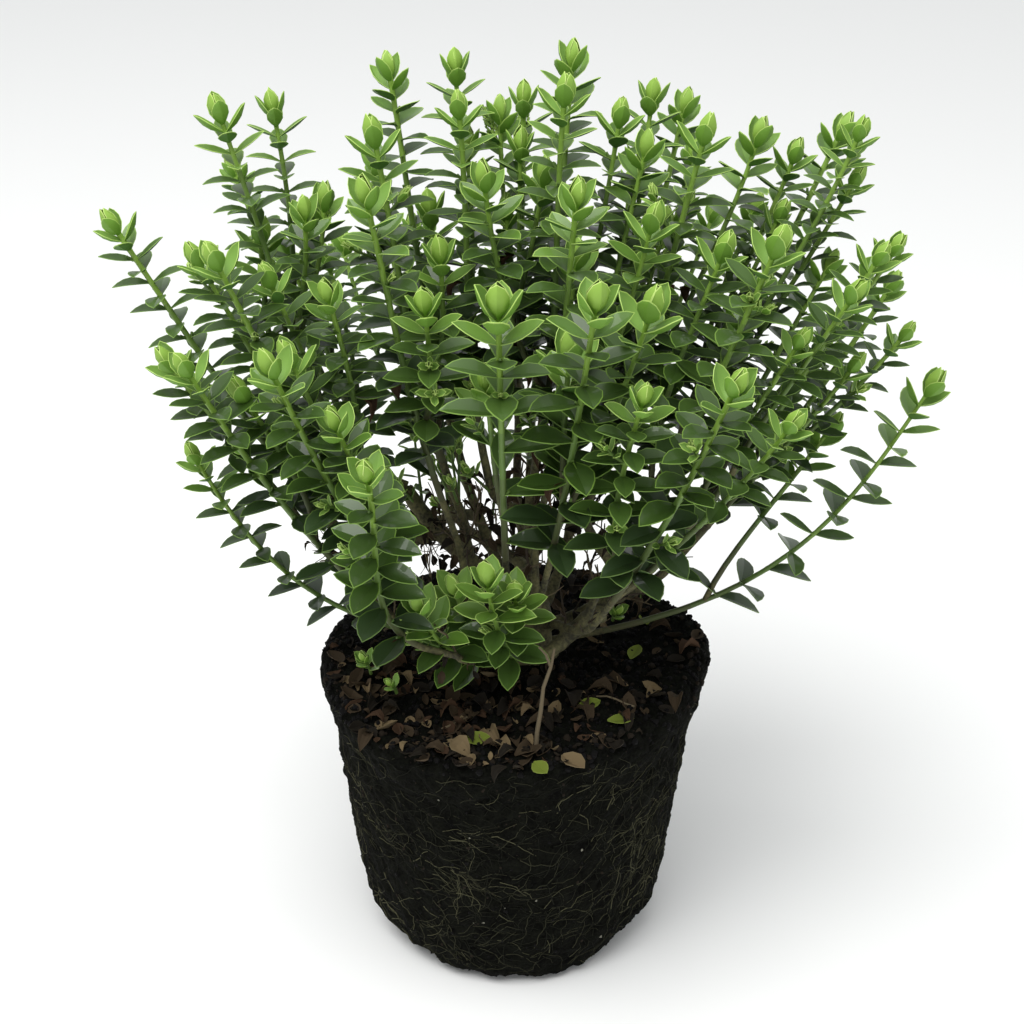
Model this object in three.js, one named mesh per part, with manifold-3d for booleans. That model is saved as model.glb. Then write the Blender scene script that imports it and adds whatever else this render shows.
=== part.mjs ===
// A hebe shrub on its bare root ball, as lifted out of a 3-litre nursery pot.
//
// Millimetres, +Z up. The origin is the centre of the root ball's flat underside, which stands on Z = 0.
// Azimuths are measured from +X (right) towards +Y (back), so -90 is the front.
//
// The plant is built the way it grows. A short woody stem base stands on the ball and forks into tapering
// boughs, and the boughs fork into branches. Every bough and branch ends in one foliage mass: a stem that
// forks into upright shoots, each with crossed pairs of ovate leaves and a closed leaf bud at its tip. A few
// low masses rise from the stem base itself. Pieces that carry each other stay GAP apart.

import * as THREE from "three";
import { mergeVertices } from "three/addons/utils/BufferGeometryUtils.js";
import Module from "manifold-3d";

// ---------------------------------------------------------------------------------------------------------
// Driving dimensions

const GAP = 0.3; // clear space between neighbouring solids
const FINEST_DETAIL = 0.02; // slivers under this are merged away when pieces are joined
const MERGE_TRIALS = [0.0001, 0.001, 0.005]; // distances at which a foliage mass's mesh has to stay sound

// The root ball's outline from the sole up. The wall kept the pot's taper, and the shoulder of loose compost
// above it bulges out, a little uneven and a little higher on one side.
const BALL = {
  height: 135,
  soleRadius: 58,
  footRadius: 68,
  footHeight: 15,
  wallRadius: 78.5,
  wallHeight: 93,
  shoulderRadius: 87,
  shoulderHeight: 128,
  brimRadius: 81,
  brimDrop: 2,
  seatRadius: 24,
  sides: 30,
};
const BALL_SLUMP = { stray: 1.3, flatter: 2.4, tilt: 3, highAzimuth: 25 };
const DRAIN = { count: 4, firstAzimuth: -40, radius: 12, depth: 5.5, innerReach: 48, sides: 12 };

const STEM_BASE = { x: 8, footRadius: 18, neckRadius: 12, height: 27, flareLobes: 5, flare: 1.3, sides: 15 };

// The crown. Heights are above the soil.
const CROWN_HEIGHT = 270;
const ELBOW_REACH = 0.42; // a limb ends at this share of its leading shoot's reach
const ELBOW_HEIGHT = 0.33; // and at this share of its height, less where the shoot is low
const ELBOW_SPLAY = 0.12; // how far its end is turned from the shoot's tip towards level
const LIMB_TIP_RADIUS = 2.2;
const BRANCH_RADIUS = 2.8;
const LIMB_SIDES = 6;
const LIMB_STEPS = 3;

// Each bough leaves the stem base at an azimuth and a rise in degrees, with its radius there. Its masses are
// given by the tip of their leading shoot: azimuth in degrees, reach from the origin and height. The first
// mass is at the bough's own tip, and each further one is on a branch that leaves the bough at a BRANCH_AT
// share of its length.
const BOUGH_INSET = 6.5; // how far from the stem base's axis the boughs begin
const BOUGH_STARTS = [0.3, 1]; // shares of the stem base's height where a level and an upright bough begin
const LOW_START = 0.22; // and where the low masses begin
const BRANCH_AT = [1, 0.66, 0.42, 0.82];
const BRANCH_FOLLOWS = 0.25; // how far a branch sets out along its bough
const BOUGHS = {
  left: {
    azimuth: 178, rise: 56, radius: 5,
    masses: { left_high: [173, 110, 255], left_far: [-177, 165, 213], left_inner: [-170, 57, 252] },
  },
  left_back: {
    azimuth: 140, rise: 52, radius: 3.2,
    masses: { back_left_high: [142, 66, 264], back_left_far: [147, 150, 207] },
  },
  front_left: {
    azimuth: -148, rise: 40, radius: 3.4,
    masses: { front_left: [-133, 136, 190], left_front: [-153, 131, 218], left_front_low: [-149, 150, 180] },
  },
  front_left_low: {
    azimuth: -112, rise: 34, radius: 3.2,
    masses: { front_left_low: [-111, 150, 165], front_left_high: [-133, 83, 244] },
  },
  front: {
    azimuth: -82, rise: 48, radius: 3.4,
    masses: { front_high: [-74, 114, 221], front_mid: [-93, 100, 216], front_inner: [-63, 56, 240] },
  },
  front_right: {
    azimuth: -46, rise: 36, radius: 3.4,
    masses: { front_right_low: [-55, 146, 191], right_front: [-30, 120, 224] },
  },
  right: {
    azimuth: -6, rise: 26, radius: 5.2,
    masses: {
      right_far: [-11, 152, 207],
      right_high: [-14, 80, 256],
      right_back_far: [17, 148, 237],
      right_low: [10, 168, 172],
    },
  },
  right_back: {
    azimuth: 38, rise: 46, radius: 3.4,
    masses: { right_back: [42, 102, 240], back_right_far: [56, 152, 200] },
  },
  back: {
    azimuth: 95, rise: 40, radius: 3.4,
    masses: { back_far: [84, 158, 178], back: [86, 74, 242], back_left: [116, 150, 192] },
  },
  centre: {
    azimuth: 60, rise: 78, radius: 3.0,
    masses: { centre: [-10, 22, 267], centre_left: [180, 22, 260], centre_back: [58, 48, 269] },
  },
};
// Low masses on the stem base itself: they set out nearly level over the soil, by a bend named turn, and then
// turn up.
const LOW_TIP_BEND = 0.3;
const LOW_MASSES = {
  low_left: { tip: [-168, 142, 156], rise: 8, turn: 0.5 },
  low_right: { tip: [2, 183, 136], rise: 8, turn: 0.56 },
  low_front: { tip: [-98, 76, 88], rise: 14, turn: 0.5 },
  low_front_left: { tip: [-120, 80, 72], rise: 12, turn: 0.5 },
};

// Shoots: the three-sided twigs that carry the leaves.
const SHOOT = { rootRadius: 2.2, tipRadius: 1.7, sides: 3, steps: 3 };
const SIDE_SHOOTS = { inner: 1, outer: 3 }; // beside a mass's leading shoot, by its reach
const SIDE_TRIES = 24;
const SIDE_SPREAD = [24, 44]; // how far a side shoot's tip stands from its leader's
const SIDE_DROP = [0.03, 0.2]; // and how far below it, as a share of the leader's height
const SIDE_FORK = [0.1, 0.34]; // the share of the leader where it forks
const SIDE_BEND = 0.25;
const INNER_REACH = 70; // the crown's middle, where side shoots may reach further out than their leader
const SHOOT_CLEARANCE = 9; // between side shoots of different masses
const LEAN = { least: 4, most: 30, growth: 1.3 }; // degrees from upright at a shoot's tip, by its reach
const WIDEST_REACH = 172;

// Leaves: fewer and larger than on the real plant, so that the crown isn't thin.
const PAIR_STEP = 23;
const FIRST_PAIR = { below: 1.15, size: 0.75 }; // in bud lengths under the tip, and as a share of a full leaf
const LEAFY_SHARE = 0.66; // of a shoot on a bough
const LOW_LEAFY_SHARE = 0.6; // of a low mass's longer stem
const LEAF = { length: 30, width: 17, cup: 2.2, widestAt: 0.48, sunk: 0.3 };
const LEAF_RISE = { tip: 46, foot: 8 }; // degrees above square to the shoot
const LEAF_STRAY = 12; // degrees in all, of turn and of rise
const STEEPEST = 60;
// Sizes and further rises in degrees, tried in turn until the leaf keeps to its mass's space.
const LEAF_FITS = [[1, 0], [1, 18], [0.85, 28], [0.72, 38]];
const BUD = { length: 18, radius: 5.6, widestAt: 0.45 };

// ---------------------------------------------------------------------------------------------------------
// Small helpers

const wasm = await Module();
wasm.setup();

const UP = new THREE.Vector3(0, 0, 1);
const radians = THREE.MathUtils.degToRad;
const lerp = THREE.MathUtils.lerp;

// A seeded generator of numbers from 0 to 1, so that every run grows the same plant.
function seeded(seed) {
  let state = seed >>> 0;
  return () => {
    state = (Math.imul(state, 1664525) + 1013904223) >>> 0;
    return state / 4294967296;
  };
}

// The direction at an azimuth and a rise above level, in degrees.
function heading(azimuth, rise) {
  const [a, r] = [radians(azimuth), radians(rise)];
  return new THREE.Vector3(Math.cos(a) * Math.cos(r), Math.sin(a) * Math.cos(r), Math.sin(r));
}

// A point at an azimuth, a reach from the ball's axis and a height above the soil.
function place([azimuth, reach, height]) {
  return heading(azimuth, 0).multiplyScalar(reach).setZ(BALL.height + height);
}

// A geometry as a manifold-3d solid.
function toSolid(geometry) {
  const bare = new THREE.BufferGeometry().setAttribute("position", geometry.getAttribute("position"));
  if (geometry.index) bare.setIndex(geometry.index);
  const merged = mergeVertices(bare, 1e-4);
  const mesh = new wasm.Mesh({
    numProp: 3,
    vertProperties: new Float32Array(merged.attributes.position.array),
    triVerts: new Uint32Array(merged.index.array),
  });
  return new wasm.Manifold(mesh);
}

// The largest body of a solid, without slivers, loose scraps or sealed hollows, as a geometry.
function toGeometry(solid) {
  const bodies = solid.simplify(FINEST_DETAIL).decompose().filter((body) => body.volume() > 0);
  const largest = bodies.reduce((best, body) => (body.volume() > best.volume() ? body : best));
  const mesh = largest.getMesh();
  const geometry = new THREE.BufferGeometry();
  geometry.setAttribute("position", new THREE.BufferAttribute(mesh.vertProperties, mesh.numProp));
  geometry.setIndex(new THREE.BufferAttribute(mesh.triVerts, 1));
  geometry.computeVertexNormals();
  return geometry;
}

// Whether a geometry stays one clean surface, two faces to an edge, when its close corners are merged.
function isSound(geometry) {
  return MERGE_TRIALS.every((distance) => {
    const bare = new THREE.BufferGeometry().setAttribute("position", geometry.getAttribute("position"));
    const corners = mergeVertices(bare.setIndex(geometry.index), distance).index.array;
    const edges = new Map();
    for (let i = 0; i < corners.length; i += 3) {
      const face = corners.slice(i, i + 3);
      if (new Set(face).size < 3) continue;
      face.forEach((from, side) => {
        const edge = [from, face[(side + 1) % 3]].sort((a, b) => a - b).join();
        edges.set(edge, (edges.get(edge) ?? 0) + 1);
      });
    }
    return [...edges.values()].every((count) => count === 2);
  });
}

// A geometry's corners as points.
function pointsOf(geometry) {
  const positions = geometry.getAttribute("position");
  const pointAt = (_, i) => new THREE.Vector3().fromBufferAttribute(positions, i);
  return Array.from({ length: positions.count }, pointAt);
}

// A closed shell over rings of points, all of one count. A ring that ends it is closed flat, and a lone point
// that ends it closes it to a tip.
function shellOver(rings) {
  const count = rings[0].length;
  const pointed = rings.at(-1).length === 1;
  const last = (rings.length - (pointed ? 2 : 1)) * count;
  const faces = [];
  for (let side = 0; side < count; side++) {
    const next = (side + 1) % count;
    for (let ring = 0; ring < last; ring += count) {
      const [a, b, c, d] = [ring + side, ring + next, ring + count + next, ring + count + side];
      faces.push(a, b, c, a, c, d);
    }
    if (pointed) faces.push(last + side, last + next, last + count);
  }
  for (let side = 1; side < count - 1; side++) {
    faces.push(0, side + 1, side);
    if (!pointed) faces.push(last, last + side, last + side + 1);
  }
  return new THREE.BufferGeometry().setFromPoints(rings.flat()).setIndex(faces);
}

// The frame of a curve at a share of its length: its point, its direction, and two directions square to that,
// of which the first keeps as near as it can to a given one.
function frameAt(curve, share, across) {
  const along = curve.getTangentAt(share);
  const first = across.clone().projectOnPlane(along).normalize();
  const second = new THREE.Vector3().crossVectors(along, first);
  return { centre: curve.getPointAt(share), along, first, second };
}

// The direction at a turn, in radians, round a frame.
function aroundFrame({ first, second }, turn) {
  return first.clone().multiplyScalar(Math.cos(turn)).addScaledVector(second, Math.sin(turn));
}

const RIDGE_TURN = radians(15);

// A ring of corners round a frame, turned so that a three-sided twig's ridges fall between its leaves.
function ringAround(frame, radius, sides, push = 0) {
  return Array.from({ length: sides }, (_, side) =>
    aroundFrame(frame, ((2 * side + 1) * Math.PI) / sides - RIDGE_TURN)
      .multiplyScalar(radius)
      .add(frame.centre)
      .addScaledVector(frame.along, push),
  );
}

// A tapering tube along a curve, grown by a margin all round and at both ends.
function taperedTube({ curve, across, rootRadius, tipRadius }, sides, steps, margin = 0) {
  const rings = [];
  for (let step = 0; step <= steps; step++) {
    const radius = lerp(rootRadius, tipRadius, step / steps) + margin;
    const push = step === 0 ? -margin : step === steps ? margin : 0;
    rings.push(ringAround(frameAt(curve, step / steps, across), radius, sides, push));
  }
  return shellOver(rings);
}

// A shoot's twig, which swells at its end into the closed bud of young leaves.
function twigGeometry({ curve, across, rootRadius, tipRadius }, margin = 0) {
  const { sides, steps } = SHOOT;
  const budShare = BUD.length / curve.getLength();
  const ringAt = (share, radius) => ringAround(frameAt(curve, share, across), radius + margin, sides);
  const rings = [];
  for (let step = 0; step <= steps; step++) {
    rings.push(ringAt((step / steps) * (1 - budShare), lerp(rootRadius, tipRadius, step / steps)));
  }
  rings.push(ringAt(1 - budShare * (1 - BUD.widestAt), BUD.radius), [curve.getPointAt(1)]);
  return shellOver(rings);
}

// A smooth curve from a start to an end, with its direction at each. Its bends are the shares of the distance
// that its two handles are long.
function bentCurve(start, startHeading, end, endHeading, bend = 0.36, endBend = bend) {
  const distance = start.distanceTo(end);
  const first = start.clone().addScaledVector(startHeading, distance * bend);
  const second = end.clone().addScaledVector(endHeading, -distance * endBend);
  return new THREE.CubicBezierCurve3(start, first, second, end);
}

// The level direction across a curve from its start to its end.
function levelAcross({ v0, v3 }) {
  return new THREE.Vector3().crossVectors(UP, v3.clone().sub(v0)).normalize();
}

// ---------------------------------------------------------------------------------------------------------
// Root ball and stem base

function ballGeometry() {
  const b = BALL;
  const bulge = (outward, upward) => [
    lerp(b.wallRadius, b.shoulderRadius, outward),
    lerp(b.wallHeight, b.shoulderHeight, upward),
  ];
  const brimHeight = b.height - b.brimDrop;
  const profile = [
    [0, 0],
    [b.soleRadius, 0],
    [lerp(b.soleRadius, b.footRadius, 0.7), b.footHeight * 0.28],
    [b.footRadius, b.footHeight],
    [lerp(b.footRadius, b.wallRadius, 0.5), lerp(b.footHeight, b.wallHeight, 0.5)],
    bulge(0, 0),
    bulge(0.2, 0.36),
    bulge(0.62, 0.64),
    bulge(1, 1),
    [lerp(b.shoulderRadius, b.brimRadius, 0.4), lerp(b.shoulderHeight, brimHeight, 0.75)],
    [b.brimRadius, brimHeight],
    [b.seatRadius, b.height],
    [0, b.height],
  ].map(([radius, height]) => new THREE.Vector2(radius, height));
  const lathe = new THREE.LatheGeometry(profile, b.sides).rotateX(Math.PI / 2);
  const positions = lathe.getAttribute("position");
  for (let i = 0; i < positions.count; i++) {
    const [x, y, z] = [positions.getX(i), positions.getY(i), positions.getZ(i)];
    const reach = Math.hypot(x, y);
    if (z <= b.wallHeight || reach < b.wallRadius) continue;
    const loose = Math.min(1, (z - b.wallHeight) / (b.shoulderHeight - b.wallHeight));
    const angle = Math.atan2(y, x);
    const lobes = BALL_SLUMP.stray * (Math.sin(3 * angle + 1) + Math.sin(5 * angle));
    const stretch = 1 + (loose * (lobes + BALL_SLUMP.flatter * Math.sin(angle))) / reach;
    const lift = loose * BALL_SLUMP.tilt * Math.cos(angle - radians(BALL_SLUMP.highAzimuth));
    positions.setXYZ(i, x * stretch, y * stretch, z + lift);
  }
  return lathe;
}

// The rounded channels that the pot's drain feet press into the lower edge.
function drainChannels() {
  const { count, firstAzimuth, radius, depth, innerReach, sides } = DRAIN;
  const length = BALL.footRadius + radius - innerReach;
  const channels = [];
  for (let i = 0; i < count; i++) {
    const channel = new THREE.CylinderGeometry(radius, radius, length, sides);
    channel.rotateZ(-Math.PI / 2).translate(innerReach + length / 2, 0, depth - radius);
    channel.rotateZ(radians(firstAzimuth + (360 / count) * i));
    channels.push(toSolid(channel));
  }
  return wasm.Manifold.union(channels);
}

const rootBall = toSolid(ballGeometry()).subtract(drainChannels());

// The woody stem base: flared and lobed at its flat foot, a neck, and a rounded head where the boughs leave.
function stemBaseGeometry(margin = 0) {
  const s = STEM_BASE;
  const foot = BALL.height + GAP;
  const profile = [
    [s.footRadius, -margin, s.flare],
    [s.footRadius * 0.78, s.height * 0.14, s.flare * 0.6],
    [s.neckRadius, s.height * 0.4, 0],
    [s.neckRadius * 1.08, s.height * 0.72, 0],
    [s.neckRadius * 0.86, s.height * 0.93 + margin, 0],
    [s.neckRadius * 0.4, s.height + margin, 0],
  ];
  const rings = profile.map(([radius, height, lobe]) =>
    Array.from({ length: s.sides }, (_, side) => {
      const angle = (2 * Math.PI * side) / s.sides;
      const reach = radius + margin + lobe * Math.cos(s.flareLobes * angle);
      return new THREE.Vector3(s.x + reach * Math.cos(angle), reach * Math.sin(angle), foot + height);
    }),
  );
  return shellOver(rings);
}

// ---------------------------------------------------------------------------------------------------------
// Limbs and shoots as curves

// The direction of a shoot at its tip: outwards, and the more so the further it reaches.
function tipHeading([azimuth, reach]) {
  const lean = lerp(LEAN.least, LEAN.most, Math.pow(Math.min(1, reach / WIDEST_REACH), LEAN.growth));
  return heading(azimuth, 90 - lean);
}

// Where the limb under a leading shoot ends, and the direction that it ends in.
function elbow(tip) {
  const [azimuth, reach, height] = tip;
  const share = ELBOW_HEIGHT * (height / CROWN_HEIGHT);
  const point = place([azimuth, reach * ELBOW_REACH, height * share]);
  const direction = place(tip).sub(point).normalize().lerp(heading(azimuth, 0), ELBOW_SPLAY).normalize();
  return { point, direction };
}

// A point inside the stem base, some way out from its axis and at a share of its height.
function stemBasePoint(azimuth, out, share) {
  const foot = new THREE.Vector3(STEM_BASE.x, 0, BALL.height + STEM_BASE.height * share);
  return foot.addScaledVector(heading(azimuth, 0), out);
}

const limbs = [];
const masses = [];

function addMass(name, tip, stem, leafyShare) {
  const { rootRadius, tipRadius } = SHOOT;
  const leader = { curve: stem, across: levelAcross(stem), rootRadius, tipRadius, leafyShare };
  masses.push({ name, tip, shoots: [leader] });
}

for (const [boughName, bough] of Object.entries(BOUGHS)) {
  const { azimuth, rise, radius } = bough;
  const inset = BOUGH_INSET * Math.cos(radians(rise));
  const start = stemBasePoint(azimuth, inset, lerp(...BOUGH_STARTS, rise / 90));
  let parent = null;
  Object.entries(bough.masses).forEach(([massName, tip], i) => {
    const end = elbow(tip);
    let limb;
    if (i === 0) {
      parent = bentCurve(start, heading(azimuth, rise), end.point, end.direction);
      limb = { name: "bough_" + boughName, curve: parent, rootRadius: radius };
    } else {
      const from = parent.getPointAt(BRANCH_AT[i]);
      const along = parent.getTangentAt(BRANCH_AT[i]);
      const away = end.point.clone().sub(from).normalize().lerp(along, BRANCH_FOLLOWS).normalize();
      const curve = bentCurve(from, away, end.point, end.direction);
      limb = { name: "branch_" + massName, curve, rootRadius: BRANCH_RADIUS };
    }
    limbs.push({ ...limb, across: levelAcross(limb.curve), tipRadius: LIMB_TIP_RADIUS });
    const stemStart = end.point.clone().addScaledVector(end.direction, GAP);
    addMass(massName, tip, bentCurve(stemStart, end.direction, place(tip), tipHeading(tip)), LEAFY_SHARE);
  });
}
for (const [name, { tip, rise, turn }] of Object.entries(LOW_MASSES)) {
  const start = stemBasePoint(tip[0], BOUGH_INSET, LOW_START);
  const stem = bentCurve(start, heading(tip[0], rise), place(tip), tipHeading(tip), turn, LOW_TIP_BEND);
  addMass(name, tip, stem, LOW_LEAFY_SHARE);
}

// Points along a curve, kept with it for measuring clearances.
const SAMPLES = 14;
function sampled(curve) {
  curve.samples ??= curve.getSpacedPoints(SAMPLES);
  return curve.samples;
}

const segment = new THREE.Line3();
const nearest = new THREE.Vector3();
function distanceTo(curve, point) {
  const points = sampled(curve);
  let least = Infinity;
  for (let i = 0; i < SAMPLES; i++) {
    segment.set(points[i], points[i + 1]).closestPointToPoint(point, true, nearest);
    least = Math.min(least, nearest.distanceTo(point));
  }
  return least;
}

// A side shoot is the best of a few seeded tries: the one whose tip has the most room round it.
function growSideShoot(mass, random) {
  const { curve: leader, across } = mass.shoots[0];
  const leaderTip = place(mass.tip);
  const others = masses.filter((m) => m !== mass).flatMap((m) => m.shoots);
  const tips = masses.flatMap((m) => m.shoots).map((shoot) => shoot.curve.v3);
  let best = null;
  for (let i = 0; i < SIDE_TRIES; i++) {
    const offset = heading(360 * random(), 0).multiplyScalar(lerp(...SIDE_SPREAD, random()));
    const drop = lerp(...SIDE_DROP, random()) * mass.tip[2];
    const fork = lerp(...SIDE_FORK, random());
    const tip = leaderTip.clone().add(offset).setZ(leaderTip.z - drop);
    const reach = Math.hypot(tip.x, tip.y);
    if (reach > Math.max(mass.tip[1], INNER_REACH)) continue;
    const room = Math.min(...tips.map((other) => other.distanceTo(tip)));
    if (best && room <= best.room) continue;
    const end = tipHeading([THREE.MathUtils.radToDeg(Math.atan2(tip.y, tip.x)), reach]);
    const root = leader.getPointAt(fork);
    const along = leader.getTangentAt(fork);
    const out = tip.clone().sub(root).projectOnPlane(along).normalize();
    const curve = bentCurve(root, out.add(along).normalize(), tip, end, SIDE_BEND);
    const free = sampled(curve).every((p) => others.every((o) => distanceTo(o.curve, p) > SHOOT_CLEARANCE));
    if (free) best = { room, curve };
  }
  if (!best) return;
  const { tipRadius } = SHOOT;
  mass.shoots.push({ curve: best.curve, across, rootRadius: tipRadius, tipRadius, leafyShare: LEAFY_SHARE });
}

masses.forEach((mass, index) => {
  mass.random = seeded(1 + index);
  const count = Math.round(lerp(SIDE_SHOOTS.inner, SIDE_SHOOTS.outer, mass.tip[1] / WIDEST_REACH));
  for (let i = 0; i < count; i++) growSideShoot(mass, mass.random);
});

// ---------------------------------------------------------------------------------------------------------
// Leaves

// A leaf's point keeps to its mass's space if it is nearer to the mass's own shoots than to any other's, and
// clear of every limb and of every other twig.
function keepsToSpace(mass, shoot, point) {
  const reachTo = (shoots) => shoots.map((other) => distanceTo(other.curve, point) - other.rootRadius);
  const own = Math.min(...reachTo(mass.shoots));
  const twigs = masses.flatMap((other) => (other === mass ? [] : other.shoots));
  const sisters = mass.shoots.filter((other) => other !== shoot);
  return (
    point.z > BALL.height + GAP &&
    reachTo(twigs).every((away) => away > Math.max(own, GAP)) &&
    reachTo([...limbs, ...sisters]).every((away) => away > GAP)
  );
}

// A leaf: its root, its tip and its two edges, which are cupped upwards over the keel from root to tip.
function leafGeometry(root, along, upper, size) {
  const across = new THREE.Vector3().crossVectors(along, upper);
  const { length, width, cup, widestAt, sunk } = LEAF;
  const corner = (share, sideways, rise) =>
    root
      .clone()
      .addScaledVector(along, length * size * share - sunk)
      .addScaledVector(across, sideways * size)
      .addScaledVector(upper, rise * size);
  const edges = [corner(widestAt, width / 2, cup), corner(widestAt, -width / 2, cup)];
  const corners = [corner(0, 0, 0), corner(1, 0, 0), ...edges];
  return new THREE.BufferGeometry().setFromPoints(corners).setIndex([0, 2, 3, 1, 3, 2, 0, 1, 2, 0, 3, 1]);
}

// Whether a solid touches none of some others, each kept with its box.
const boxed = (solid) => ({ solid, box: solid.boundingBox() });
const areApart = (a, b) => [0, 1, 2].some((k) => a.min[k] > b.max[k] || b.min[k] > a.max[k]);
function isClear({ solid, box }, others) {
  return others.every((other) => areApart(box, other.box) || solid.intersect(other.solid).isEmpty());
}

// A shoot's leaf pairs from its bud down. Leaves that can't keep clear of all others in any fit are left out.
function leafPairs(mass, shoot, obstacles) {
  const { curve, across, leafyShare } = shoot;
  const length = curve.getLength();
  const pairs = Math.floor((length * leafyShare) / PAIR_STEP);
  const leaves = [];
  for (let pair = 0; pair < pairs; pair++) {
    const below = BUD.length * FIRST_PAIR.below + PAIR_STEP * pair;
    const frame = frameAt(curve, 1 - below / length, across);
    const age = pair / Math.max(1, pairs - 1);
    const placed = [...leaves];
    for (const side of [0, 180]) {
      const stray = () => LEAF_STRAY * (mass.random() - 0.5);
      const out = aroundFrame(frame, radians(90 * pair + side + stray()));
      const rise = lerp(LEAF_RISE.tip, LEAF_RISE.foot, Math.sqrt(age)) + stray();
      const young = pair === 0 ? FIRST_PAIR.size : 1;
      for (const [size, lift] of LEAF_FITS) {
        const raised = radians(rise + lift * (1 - rise / STEEPEST));
        const [level, steep] = [Math.cos(raised), Math.sin(raised)];
        const along = out.clone().multiplyScalar(level).addScaledVector(frame.along, steep);
        const upper = frame.along.clone().multiplyScalar(level).addScaledVector(out, -steep);
        const geometry = leafGeometry(frame.centre, along, upper, size * young);
        const blade = pointsOf(geometry).slice(1);
        if (!blade.every((point) => keepsToSpace(mass, shoot, point))) continue;
        const leaf = boxed(toSolid(geometry));
        if (!isClear(leaf, [...obstacles, ...placed])) continue;
        leaves.push(leaf);
        break;
      }
    }
  }
  return leaves;
}

// ---------------------------------------------------------------------------------------------------------
// Assembly

const mixMaterial = new THREE.MeshStandardMaterial({ color: 0x1b1712, roughness: 0.95, metalness: 0 });
const barkMaterial = new THREE.MeshStandardMaterial({ color: 0x5b5138, roughness: 0.85, metalness: 0 });
const leafMaterial = new THREE.MeshStandardMaterial({ color: 0x4f7a35, roughness: 0.5, metalness: 0 });

const hebe = new THREE.Group();
hebe.name = "hebe_shrub";

function addPiece(name, geometry, material) {
  const mesh = new THREE.Mesh(geometry, material);
  mesh.name = name;
  hebe.add(mesh);
}

addPiece("root_ball", toGeometry(rootBall), mixMaterial);
addPiece("stem_base", stemBaseGeometry(), barkMaterial);

// Every limb gives way to the stem base and to the limbs before it, and so seats on its parent GAP clear.
let standing = toSolid(stemBaseGeometry(GAP));
for (const limb of limbs) {
  const body = toSolid(taperedTube(limb, LIMB_SIDES, LIMB_STEPS)).subtract(standing);
  addPiece(limb.name, toGeometry(body), barkMaterial);
  standing = standing.add(toSolid(taperedTube(limb, LIMB_SIDES, LIMB_STEPS, GAP)));
}

// A mass's leaves stay clear of the limbs, of the other masses' twigs and of the masses already grown.
for (const mass of masses) {
  mass.twigs = mass.shoots.map((shoot) => boxed(toSolid(twigGeometry(shoot, GAP))));
}
const grown = [boxed(standing)];

function massGeometry(mass) {
  const leaves = [];
  mass.shoots.forEach((shoot, i) => {
    const twigs = masses.flatMap((other) => (other === mass ? mass.twigs.toSpliced(i, 1) : other.twigs));
    leaves.push(...leafPairs(mass, shoot, [...grown, ...twigs, ...leaves]));
  });
  const twigs = mass.shoots.map((shoot) => toSolid(twigGeometry(shoot)));
  return toGeometry(wasm.Manifold.union([...twigs, ...leaves.map((leaf) => leaf.solid)]).subtract(standing));
}

// A mass whose leaves happen to meet their twig along a crack is grown again with its next random numbers.
for (const mass of masses) {
  let geometry = massGeometry(mass);
  while (!isSound(geometry)) geometry = massGeometry(mass);
  addPiece("foliage_" + mass.name, geometry, leafMaterial);
  grown.push(boxed(toSolid(geometry)));
}

export default hebe;
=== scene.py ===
# %% [markdown]
# # A hebe shrub on its root ball
#
# The shrub stands as it comes out of its pot: a tapered ball of black compost that its roots hold
# together, a short woody stem that forks into boughs, about a hundred green shoots and several thousand
# small evergreen leaves. That is too much to place by hand, so the plant is grown: the rules that made
# the solids run again here, and are carried on to the finest twigs. What is seen close up, such as a
# leaf, a bud or a crumb of compost, is modelled once by hand, and copied to each of its places.

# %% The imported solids
import math

import bpy
import numpy as np
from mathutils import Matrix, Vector
from mathutils.bvhtree import BVHTree


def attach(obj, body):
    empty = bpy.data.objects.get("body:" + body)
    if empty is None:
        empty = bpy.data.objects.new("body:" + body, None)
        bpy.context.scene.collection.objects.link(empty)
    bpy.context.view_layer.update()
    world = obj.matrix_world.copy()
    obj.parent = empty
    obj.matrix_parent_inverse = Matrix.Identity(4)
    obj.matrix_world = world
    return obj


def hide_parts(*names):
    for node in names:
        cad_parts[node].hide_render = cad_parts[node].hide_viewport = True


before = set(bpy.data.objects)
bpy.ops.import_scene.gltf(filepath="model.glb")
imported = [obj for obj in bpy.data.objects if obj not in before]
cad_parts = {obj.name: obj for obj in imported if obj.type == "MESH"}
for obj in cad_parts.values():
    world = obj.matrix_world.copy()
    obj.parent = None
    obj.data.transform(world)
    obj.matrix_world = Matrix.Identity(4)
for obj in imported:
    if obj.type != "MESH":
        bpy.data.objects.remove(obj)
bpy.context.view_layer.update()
MM = 0.001  # the plant is worked out in millimetres, and Blender's meshes are in metres
print("Solids loaded:", len(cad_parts))

# %% [markdown]
# ## Camera and studio
#
# A plant looks right from a little above, through a long lens that keeps the near shoots from growing
# large. The light is a plain bright surround with one broad soft lamp overhead, as under a white sky: it
# models the leaves without hard shadows, and leaves the inside of the crown dark. A surround this even
# also spares the renderer from noise.

# %% Camera
CAMERA_PLACE = (0, -0.850, 0.6457)
CAMERA_PITCH = 27.36  # degrees below level
CAMERA_LENS = 77.6

scene = bpy.context.scene
tilt = math.radians(90 - CAMERA_PITCH)
bpy.ops.object.camera_add(location=CAMERA_PLACE, rotation=(tilt, 0, 0))
scene.camera = bpy.context.object
scene.camera.data.lens = CAMERA_LENS
scene.view_settings.view_transform = "Standard"
print("Camera at", CAMERA_PLACE, "with a lens of", CAMERA_LENS, "mm")


# %% Colours and finishes
def linear(hex_colour):
    """An sRGB colour such as "6f8f3c" as the linear numbers that a shader takes."""
    parts = [int(hex_colour[i : i + 2], 16) / 255 for i in (0, 2, 4)]
    return [c / 12.92 if c <= 0.04045 else ((c + 0.055) / 1.055) ** 2.4 for c in parts]


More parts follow.
